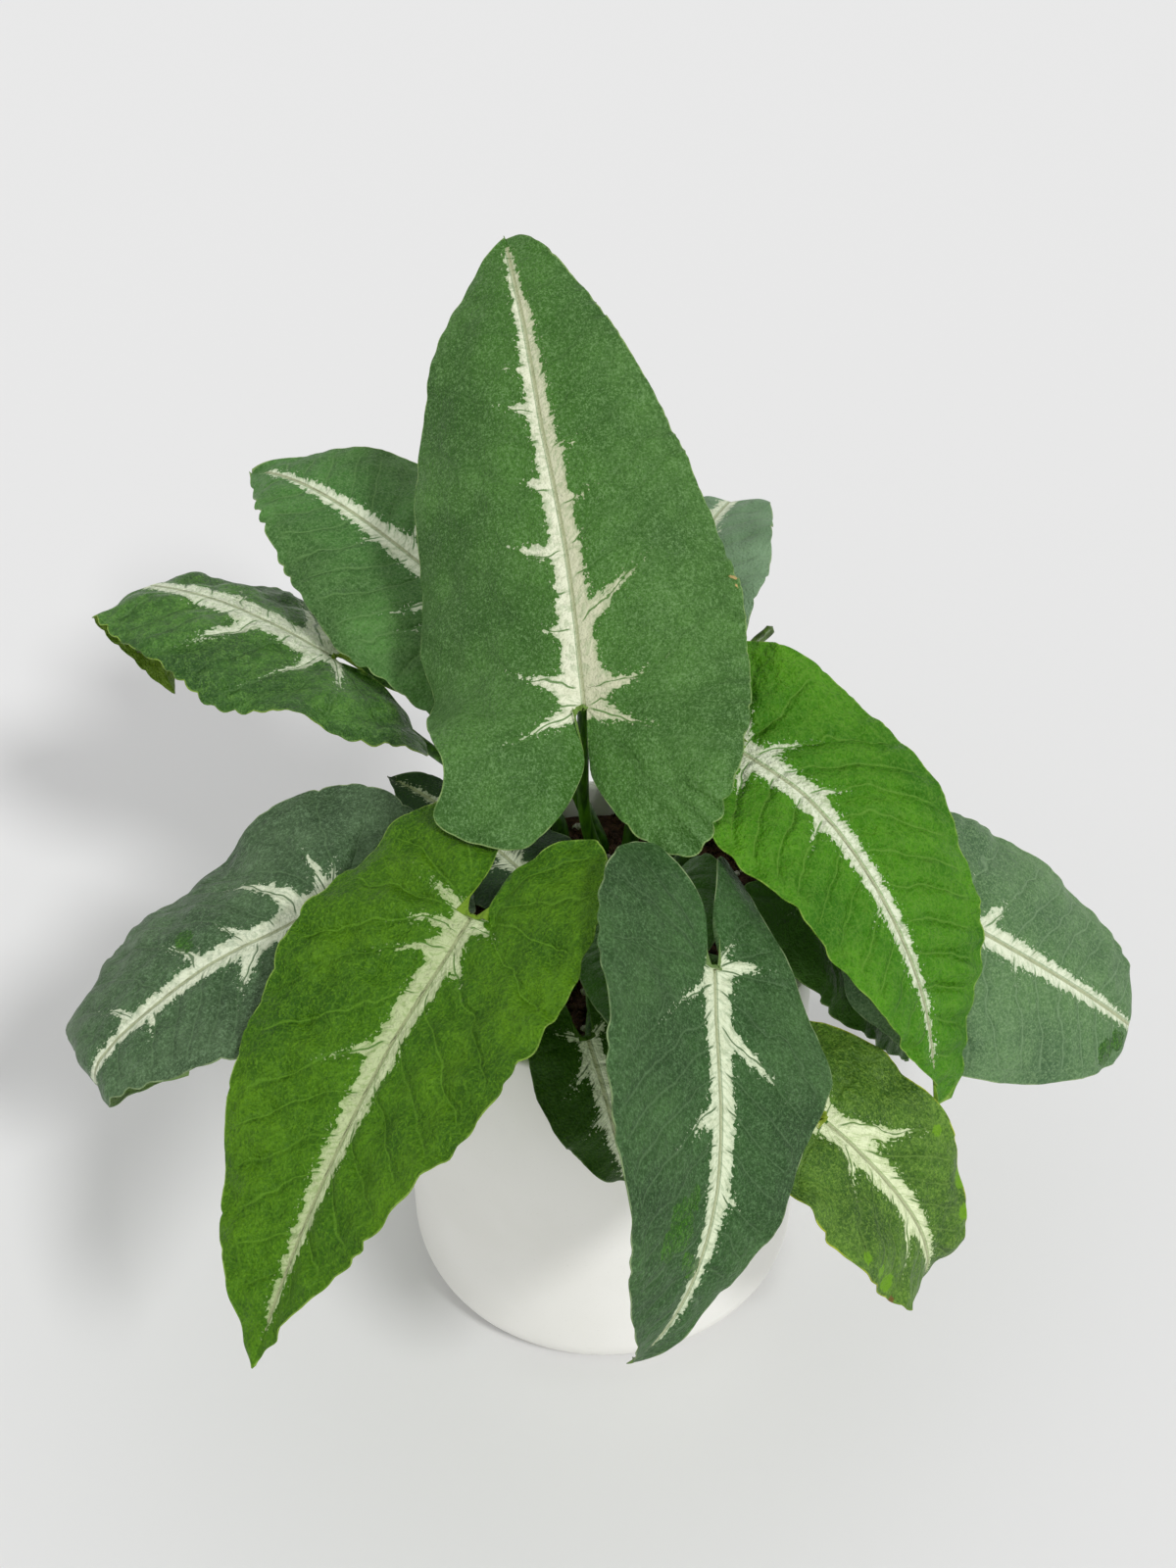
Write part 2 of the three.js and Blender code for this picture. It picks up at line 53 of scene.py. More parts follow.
def splineThrough(points, mirrorEnds=False, perSpan=32):
    points = np.array(points, float)
    first = 2 * points[0] - points[1] if mirrorEnds else points[0]
    last = 2 * points[-1] - points[-2] if mirrorEnds else points[-1]
    padded = np.vstack([first, points, last])
    t = np.linspace(0, 1, perSpan, endpoint=False)[:, None]
    spans = []
    for before, start, end, after in zip(padded, padded[1:], padded[2:], padded[3:]):
        leave, arrive = (end - before) / 2, (after - start) / 2
        spans.append((2 * start - 2 * end + leave + arrive) * t ** 3
                     + (3 * end - 3 * start - 2 * leave - arrive) * t ** 2 + leave * t + start)
    return np.vstack(spans + [points[-1:]])


def lengthsAlong(line):
    return np.concatenate([[0], np.cumsum(np.linalg.norm(np.diff(line, axis=0), axis=1))])


def spacedAlong(line, count):
    lengths = lengthsAlong(line)
    wanted = np.linspace(0, lengths[-1], count + 1)
    return np.stack([np.interp(wanted, lengths, column) for column in line.T], axis=1)


def placed(name, data):  # a new object in the scene
    result = bpy.data.objects.new(name, data)
    scene.collection.objects.link(result)
    return result


# Points and faces of a skin over rings of points, where a ring may also be a single point
def ringed(rings, sides, flipped=False):
    points, numbers, faces = [], [], []
    for ring in rings:
        start = len(points)
        numbers.append([start] * sides if len(ring) == 1 else range(start, start + sides))
        points += list(ring)
    for below, above in zip(numbers, numbers[1:]):
        for k in range(sides):
            n = (k + 1) % sides
            face = [below[k], below[n], above[n], above[k]]
            if flipped:
                face = [below[k], above[k], above[n], below[n]]
            face = [v for i, v in enumerate(face) if v != face[(i + 1) % 4]]
            if len(face) >= 3:
                faces.append(face)
    return points, faces


def meshObject(name, points, faces, materials, flatFaces=None, attributes=None):
    mesh = bpy.data.meshes.new(name)
    mesh.from_pydata((np.asarray(points) * metresPerMm).tolist(), [], [list(map(int, f)) for f in faces])
    for material in materials:
        mesh.materials.append(material)
    mesh.polygons.foreach_set("use_smooth", [True] * len(mesh.polygons))
    if flatFaces is not None:
        mesh.polygons.foreach_set("use_smooth", [not flat for flat in flatFaces])
    for key, values in (attributes or {}).items():
        layer = mesh.attributes.new(key, "FLOAT_VECTOR", "POINT")
        layer.data.foreach_set("vector", np.asarray(values, np.float32).ravel())
    mesh.validate()
    mesh.update()
    return placed(name, mesh)


# Shader or geometry nodes, made and linked in one tree
class NodeTree:
    def __init__(self, tree):
        self.tree = tree

    def make(self, kind, inputs=None, **settings):
        node = self.tree.nodes.new(kind)
        for key, value in settings.items():
            setattr(node, key, value)
        for key, value in (inputs or {}).items():
            self.plug(value, node.inputs[key])
        return node

    def plug(self, value, socket):
        if isinstance(value, bpy.types.NodeSocket):
            self.tree.links.new(value, socket)
        else:
            socket.default_value = value

    def maths(self, operation, a, b=0.0):
        return self.make("ShaderNodeMath", {0: a, 1: b}, operation=operation).outputs[0]

    def times(self, a, *others):
        for b in others:
            a = self.maths("MULTIPLY", a, b)
        return a

    def plus(self, a, *others):
        for b in others:
            a = self.maths("ADD", a, b)
        return a

    def size(self, value):
        return self.maths("ABSOLUTE", value)

    def largest(self, first, *others):
        return self.maths("MAXIMUM", first, self.largest(*others)) if others else first

    def ramp(self, value, low, high, start=0.0, end=1.0):  # smooth, from start to end between low and high
        return self.make("ShaderNodeMapRange", {0: value, 1: low, 2: high, 3: start, 4: end},
                         interpolation_type="SMOOTHSTEP").outputs[0]

    def line(self, value, place, outer, inner):  # a line where value is near place
        return self.ramp(self.size(self.plus(value, -place) if place else value), outer, inner)

    def mix(self, factor, a, b):
        node = self.make("ShaderNodeMix", {0: factor, 6: a, 7: b}, data_type="RGBA")
        return node.outputs[2]

    def noise(self, place, scale, detail=2.0, roughness=0.5):
        return self.make("ShaderNodeTexNoise", {"Vector": place, "Scale": scale, "Detail": detail,
                                                "Roughness": roughness}).outputs["Fac"]

    def wobble(self, amount, *noise):  # noise round zero
        return self.times(self.plus(self.noise(*noise), -0.5), amount)

    def cells(self, place, scale, feature):
        return self.make("ShaderNodeTexVoronoi", {"Vector": place, "Scale": scale}, feature=feature,
                         voronoi_dimensions="3D").outputs["Distance"]

    def parts(self, vector):
        return self.make("ShaderNodeSeparateXYZ", {0: vector}).outputs

    def vector(self, x, y, z):
        return self.make("ShaderNodeCombineXYZ", {0: x, 1: y, 2: z}).outputs[0]

    def attribute(self, name):
        return self.make("ShaderNodeAttribute", attribute_name=name).outputs["Vector"]

    def objectPlace(self):
        return self.make("ShaderNodeTexCoord").outputs["Object"]

    def stretched(self, place, scale, rotation=(0.0, 0.0, 0.0)):
        return self.make("ShaderNodeMapping", {"Vector": place, "Rotation": rotation,
                                               "Scale": scale}).outputs[0]


# A node group with its inputs (label, kind of socket, default) and outputs (label, kind of socket)
def newGroup(kind, name, inputs, outputs):
    tree = bpy.data.node_groups.new(name, kind)
    for label, socketKind, *default in inputs:
        socket = tree.interface.new_socket(name=label, in_out="INPUT", socket_type="NodeSocket" + socketKind)
        if default:
            socket.default_value = default[0]
    for label, socketKind in outputs:
        tree.interface.new_socket(name=label, in_out="OUTPUT", socket_type="NodeSocket" + socketKind)
    nodes = NodeTree(tree)
    return tree, nodes, nodes.make("NodeGroupInput").outputs, nodes.make("NodeGroupOutput").inputs


def newMaterial(name):
    material = bpy.data.materials.new(name)
    material.use_nodes = True
    nodes = NodeTree(material.node_tree)
    return material, nodes, material.node_tree.nodes["Principled BSDF"]


def dress(nodes, shader, tint, roughness, height, distance, strength=1.0):
    nodes.plug(tint, shader.inputs["Base Color"])
    nodes.plug(roughness, shader.inputs["Roughness"])
    bump = nodes.make("ShaderNodeBump", {"Height": height, "Distance": distance, "Strength": strength})
    nodes.plug(bump.outputs["Normal"], shader.inputs["Normal"])


# What every blade shows: veins, silver, pale margin, speckle. It reads four vectors of the blade's
# points, in mm: flatPlace (along, aside, under), veinPlace (vein number, gap between veins, reach
# from the midrib), markPlace (depth inside the silver, distance to the margin, wetness) and
# spotPlace (depth inside a tan, a fresh and a brown spot).
bladeColours = {"Deep green": "deep", "Light green": "light", "Base green": "base", "Speckle green": "speck",
                "Vein green": "vein", "Silver": "silver", "Silver on the right": "silverShadedRight",
                "Margin": "margin", "Underside": "under", "Midrib": "rib"}
bladeStrengths = {"Vein strength": "veinShow", "Speckle": "speckle", "Quilting": "quilting",
                  "Pebbling": "pebbling", "Grain": "grain", "Dents": "dents", "Gloss": "gloss"}
spotColours = {"tanSpots": (206, 170, 112), "freshSpots": (106, 156, 16), "brownSpots": (112, 72, 34)}


def makeBladeGroup():
    tree, nodes, given, result = newGroup(
        "ShaderNodeTree", "blade markings",
        [("Seed", "Float", 0.0)] + [(label, "Color") for label in bladeColours]
        + [(label, "Float") for label in bladeStrengths],
        [("Colour", "Color"), ("Roughness", "Float"), ("Height", "Float")])
    times, plus, mix, ramp, noise = nodes.times, nodes.plus, nodes.mix, nodes.ramp, nodes.noise
    along, aside, under = nodes.parts(nodes.attribute("flatPlace"))
    number, gap, reach = nodes.parts(nodes.attribute("veinPlace"))
    silverDepth, edge, wet = nodes.parts(nodes.attribute("markPlace"))
    spotDepths = nodes.parts(nodes.attribute("spotPlace"))
    seed, deepGreen, lightGreen = given["Seed"], given["Deep green"], given["Light green"]
    flat = nodes.vector(along, aside, times(seed, 17.0))

    # veins: distance to the nearest lateral vein and to the fine vein halfway between two of them
    wandered = plus(number, nodes.wobble(0.9, flat, 0.07))
    toVein = times(nodes.size(plus(nodes.maths("FRACT", plus(wandered, 0.5)), -0.5)), gap)
    toFineVein = times(nodes.size(plus(nodes.maths("FRACT", wandered), -0.5)), gap)
    offMidrib = ramp(nodes.size(aside), 0.8, 3.0)
    onSide = ramp(aside, -0.3, 0.3)
    inMargin = ramp(edge, 2.5, 6.0)
    open = times(offMidrib, inMargin)
    rank = noise(nodes.vector(times(nodes.maths("ROUND", wandered), 7.3), seed, times(onSide, 9.0)), 1.0)
    vein = times(ramp(toVein, 0.5, 0.08), open, ramp(rank, 0.22, 0.52))
    fineVein = times(ramp(toFineVein, 0.4, 0.05), open)
    besideMargin = nodes.line(edge, 4.3, 0.5, 0.1)
    netLine = ramp(nodes.cells(flat, 0.33, "DISTANCE_TO_EDGE"), 0.09, 0.02)

    # green ground, with painted shade in the dents and along the vein grooves and painted highlights on the
    # crests
    mottle = ramp(noise(flat, 0.045, 3.0), 0.3, 0.7)
    patch = ramp(noise(flat, 0.16, 4.0), 0.4, 0.7)
    speckle = ramp(noise(flat, 2.1, 2.0, 0.65), 0.5, 0.66)
    pebble = noise(flat, 1.2, 3.0, 0.7)
    swelling = noise(flat, 0.32, 4.0, 0.62)
    # painted shade: where the bump lowers the blade into dents, the colour darkens towards the deep green
    paintedDentShade = times(ramp(swelling, 0.53, 0.38), given["Dents"])
    # painted highlight: where the bump raises the blade into crests, the colour lightens towards the speckle
    # green
    paintedCrestHighlight = times(ramp(swelling, 0.54, 0.68), given["Dents"])
    # painted shade: the sunken grooves along the lateral veins darken towards the deep green
    paintedVeinGrooveShade = ramp(toVein, 2.2, 0.4)
    ground = mix(mottle, deepGreen, lightGreen)
    for share, tone in (
            (times(ramp(nodes.size(aside), 26.0, 2.0), 0.55), "Base green"),
            (times(patch, 0.28), "Deep green"),
            (times(speckle, given["Speckle"]), "Speckle green"),
            (times(ramp(pebble, 0.52, 0.64), given["Grain"]), "Speckle green"),
            (times(ramp(pebble, 0.48, 0.36), given["Grain"]), "Deep green"),
            # painted shade in the dents
            (times(paintedDentShade, 0.55), "Deep green"),
            # painted highlight on the crests
            (times(paintedCrestHighlight, 0.35), "Speckle green"),
            # painted shade in the vein grooves
            (times(paintedVeinGrooveShade, open, 0.26), "Deep green"),
            (times(given["Vein strength"], nodes.largest(
                vein, times(fineVein, 0.35), times(besideMargin, 0.4), times(netLine, 0.4))), "Vein green")):
        ground = mix(share, ground, given[tone])

    # silver: its edge is toothed along the veins, with loose grains round the ends
    toothPlace = nodes.vector(times(wandered, 7.5), times(reach, 0.28), seed)
    tooth = nodes.wobble(3.4, toothPlace, 1.0, 2.0, 0.6)
    jag = nodes.wobble(4.4, flat, 0.55, 4.0, 0.6)
    ragged = plus(silverDepth, plus(tooth, jag))
    grains = times(ramp(noise(flat, 1.25, 1.0), 0.65, 0.7), ramp(silverDepth, -2.3, -0.7))
    silver = nodes.largest(ramp(ragged, -0.1, 0.25), times(grains, 0.9))
    ground = mix(times(ramp(ragged, -1.8, 0.2), 0.4), ground, given["Base green"])
    # painted shade: on the leaf's right, the shaded bank of the midrib's groove, the silver takes its own
    # darker colour on some leaves
    silverColour = mix(ramp(aside, 0.3, -0.3), given["Silver"], given["Silver on the right"])
    spine = times(ramp(toVein, 0.36, 0.14), ramp(reach, 1.0, 3.0))
    for share, strength, tone in (
            (ramp(ragged, 1.6, 0.1), 0.35, "Vein green"),
            (ramp(noise(flat, 0.4, 4.0, 0.62), 0.42, 0.64), 0.22, "Midrib"),
            (ramp(noise(toothPlace, 1.6, 2.0), 0.5, 0.62), 0.3, "Speckle green"),
            (spine, 0.85, "Base green"),
            (nodes.line(aside, 0.0, 0.75, 0.4), 0.75, "Midrib"),
            (nodes.line(aside, 0.75, 0.24, 0.08), 0.55, "Light green")):
        silverColour = mix(times(share, strength), silverColour, given[tone])
    surface = mix(silver, ground, silverColour)

    # margin, wet patches, spots and the paler underside
    paleMargin = times(ramp(edge, 0.5, 0.15), ramp(noise(flat, 0.16, 3.0), 0.4, 0.6, 0.06, 0.6))
    surface = mix(paleMargin, surface, given["Margin"])
    wetEdge = ramp(plus(wet, nodes.wobble(6.0, flat, 0.42, 5.0, 0.66)), 0.0, 0.3)
    wetGreen = mix(ramp(pebble, 0.45, 0.65), colour(34, 80, 4), colour(66, 118, 24))
    surface = mix(times(wetEdge, 0.9), surface, wetGreen)
    spotJag = nodes.wobble(2.2, flat, 0.7, 3.0)
    for depth, tone in zip(spotDepths, spotColours.values()):
        surface = mix(times(ramp(plus(depth, spotJag), 0.0, 0.5), 0.8), surface, colour(*tone))
    below = mix(times(mottle, 0.35), given["Underside"], lightGreen)
    below = mix(times(nodes.largest(vein, times(fineVein, 0.4)), 0.6), below, given["Margin"])
    nodes.plug(mix(under, surface, below), result["Colour"])
    nodes.plug(plus(ramp(noise(flat, 0.3, 2.0), 0.3, 0.7, 0.42, 0.56), times(given["Gloss"], -1.0),
                    times(wetEdge, -0.22)), result["Roughness"])

    # relief in mm: sunken veins, swollen cells, fine pebbling
    nodes.plug(plus(
        times(ramp(toVein, 0.1, 1.8), inMargin, given["Quilting"]),
        times(nodes.cells(flat, 1.5, "SMOOTH_F1"), times(given["Pebbling"], -0.16)),
        times(noise(flat, 0.4, 4.0), 0.14),
        times(nodes.largest(vein, times(fineVein, 0.5)), -0.10),
        times(netLine, -0.03),
        times(swelling, given["Dents"], 2.6),
        times(silver, -0.04)), result["Height"])
    return tree


bladeGroup = makeBladeGroup()


def bladeMaterial(leaf):
    material, nodes, shader = newMaterial(leaf["piece"] + " blade")
    look = {"silverShadedRight": leaf["look"]["silver"], **leaf["look"]}
    values = {"Seed": float(leaf["phase"] + 1)}
    values.update((label, colour(*look[key])) for label, key in bladeColours.items())
    values.update((label, look[key]) for label, key in bladeStrengths.items())
    marks = nodes.make("ShaderNodeGroup", values, node_tree=bladeGroup).outputs
    dress(nodes, shader, marks["Colour"], marks["Roughness"], marks["Height"], metresPerMm)
    shader.inputs["Specular IOR Level"].default_value = look["shine"]
    return material


def makeStalkMaterial():
    material, nodes, shader = newMaterial("stalk green")
    place = nodes.objectPlace()
    streak = nodes.ramp(nodes.noise(nodes.stretched(place, (900.0, 900.0, 40.0)), 1.0, 3.0), 0.35, 0.65)
    blotch = nodes.ramp(nodes.noise(place, 90.0, 2.0), 0.4, 0.62)
    green = nodes.mix(streak, colour(40, 84, 2), colour(72, 124, 14))
    green = nodes.mix(nodes.times(blotch, 0.4), green, colour(30, 54, 10))
    dress(nodes, shader, green, nodes.ramp(streak, 0.0, 1.0, 0.5, 0.36), streak, 0.00015, 0.6)
    shader.inputs["Specular IOR Level"].default_value = 0.35
    return material


stalkMaterial = makeStalkMaterial()


# A stalk grown round a path of points, by Geometry Nodes
def makeStalkTree():
    tree, nodes, given, result = newGroup("GeometryNodeTree", "stalk along a path", [
        ("Geometry", "Geometry"), ("Foot radius", "Float", 0.003), ("Top radius", "Float", 0.0017),
        ("Thinning starts", "Float", 0.05), ("Thinning ends", "Float", 0.6), ("Sides", "Int", 20),
        ("Surface", "Material")], [("Geometry", "Geometry")])
    path = nodes.make("GeometryNodeMeshToCurve", {"Mesh": given["Geometry"]}).outputs[0]
    share = nodes.make("GeometryNodeSplineParameter").outputs["Factor"]
    radius = nodes.ramp(share, given["Thinning starts"], given["Thinning ends"], given["Foot radius"],
                        given["Top radius"])
    ring = nodes.make("GeometryNodeCurvePrimitiveCircle", {"Resolution": given["Sides"], "Radius": 1.0})
    tube = nodes.make("GeometryNodeCurveToMesh", {
        "Curve": path, "Profile Curve": ring.outputs[0], "Scale": radius, "Fill Caps": True}).outputs[0]
    smooth = nodes.make("GeometryNodeSetShadeSmooth", {"Geometry": tube}).outputs[0]
    real = nodes.make("GeometryNodeRealizeInstances", {"Geometry": smooth}).outputs[0]
    done = nodes.make("GeometryNodeSetMaterial", {"Geometry": real, "Material": given["Surface"]}).outputs[0]
    nodes.plug(done, result[0])
    return tree


stalkTree = makeStalkTree()


def grown(name, base, tree, values):  # base's geometry put through a tree, as a new plain mesh object
    modifier = base.modifiers.new("grow", "NODES")
    modifier.node_group = tree
    for item in tree.interface.items_tree:
        if item.in_out == "INPUT" and item.name in values:
            modifier[item.identifier] = values[item.name]
    bpy.context.view_layer.update()
    evaluated = base.evaluated_get(bpy.context.evaluated_depsgraph_get())
    mesh = bpy.data.meshes.new_from_object(evaluated)
    mesh.name = name
    base.modifiers.remove(modifier)
    result = placed(name, mesh)
    bpy.data.objects.remove(base)
    return result


def joined(objects):  # one object from several, under the first one's name
    with bpy.context.temp_override(active_object=objects[0], selected_objects=objects,
                                   selected_editable_objects=objects, object=objects[0]):
        bpy.ops.object.join()
    return objects[0]


def both(*marks):  # the same marks in the left and the right half
    return marks, marks


# Leaves. Lengths are in mm and angles in degrees; pairs are (left, right) as the leaf itself has
# them. They repeat the part's own leaf table, and add what only shows here:
#   midrib    (along, aside, half width of the silver) from the joint to the tip
#   branches  (foot on the midrib, tip along, tip aside, half width) of silver along lateral veins
#   lobeRays  (angle from the tip's direction, reach, half width) of silver in the lobes
leafGreens = {
    "mid": dict(deep=(48, 88, 28), light=(76, 120, 50), base=(66, 116, 32), speck=(108, 146, 88),
                vein=(104, 144, 80), margin=(160, 184, 116), under=(112, 142, 62)),
    "grey": dict(deep=(48, 76, 44), light=(80, 108, 72), base=(60, 98, 50), speck=(112, 142, 104),
                 vein=(108, 140, 96), margin=(160, 180, 130), under=(112, 140, 78)),
    "bright": dict(deep=(44, 86, 5), light=(74, 116, 18), base=(60, 112, 6), speck=(94, 140, 44),
                   vein=(102, 148, 52), margin=(160, 192, 88), under=(122, 154, 44)),
    "yellow": dict(deep=(58, 98, 22), light=(90, 132, 38), base=(76, 122, 26), speck=(124, 160, 62),
                   vein=(126, 162, 72), margin=(204, 210, 60), under=(140, 160, 44)),
    "dark": dict(deep=(20, 42, 6), light=(36, 68, 14), base=(30, 62, 10), speck=(58, 90, 36),
                 vein=(60, 94, 40), margin=(120, 148, 88), under=(66, 98, 30)),
}
usualLook = dict(silver=(228, 236, 208), rib=(152, 160, 116), veinShow=0.34, speckle=0.45, quilting=0.25,
                 pebbling=1.8, grain=0.55, dents=0.3, gloss=0.0, shine=0.2)
usualLeaf = dict(
    roll=0, widest=0.17, taper=(1.9, 1.9), blunt=1, lobeAt=0.4, lobeWidths=(1, 1),
    lobeCorners=(0.7, 0.7), sinus=(2.5, 2.5), archPower=1.3, swing=0, twist=0, fold=8, curl=25,
    lobeFold=14, lobeLift=(0, 0), droop=25, bendAt=0.8, bendSkew=0, bendBy=0, bendRadius=6, wave=1.3,
    waves=5, stalkVia=(), look={}, green="mid", veinSpacing=10, tanSpots=(), freshSpots=(),
    brownSpots=(), pucker=0.14, lobeVeins=(96, 124, 150, 172), branches=((), ()), lobeRays=((), ()),
    wetSpots=(), quilt=0.3, scallop=(0.5, 0.5), scallopEvery=8, marginRipple=(0.5, 0.5))
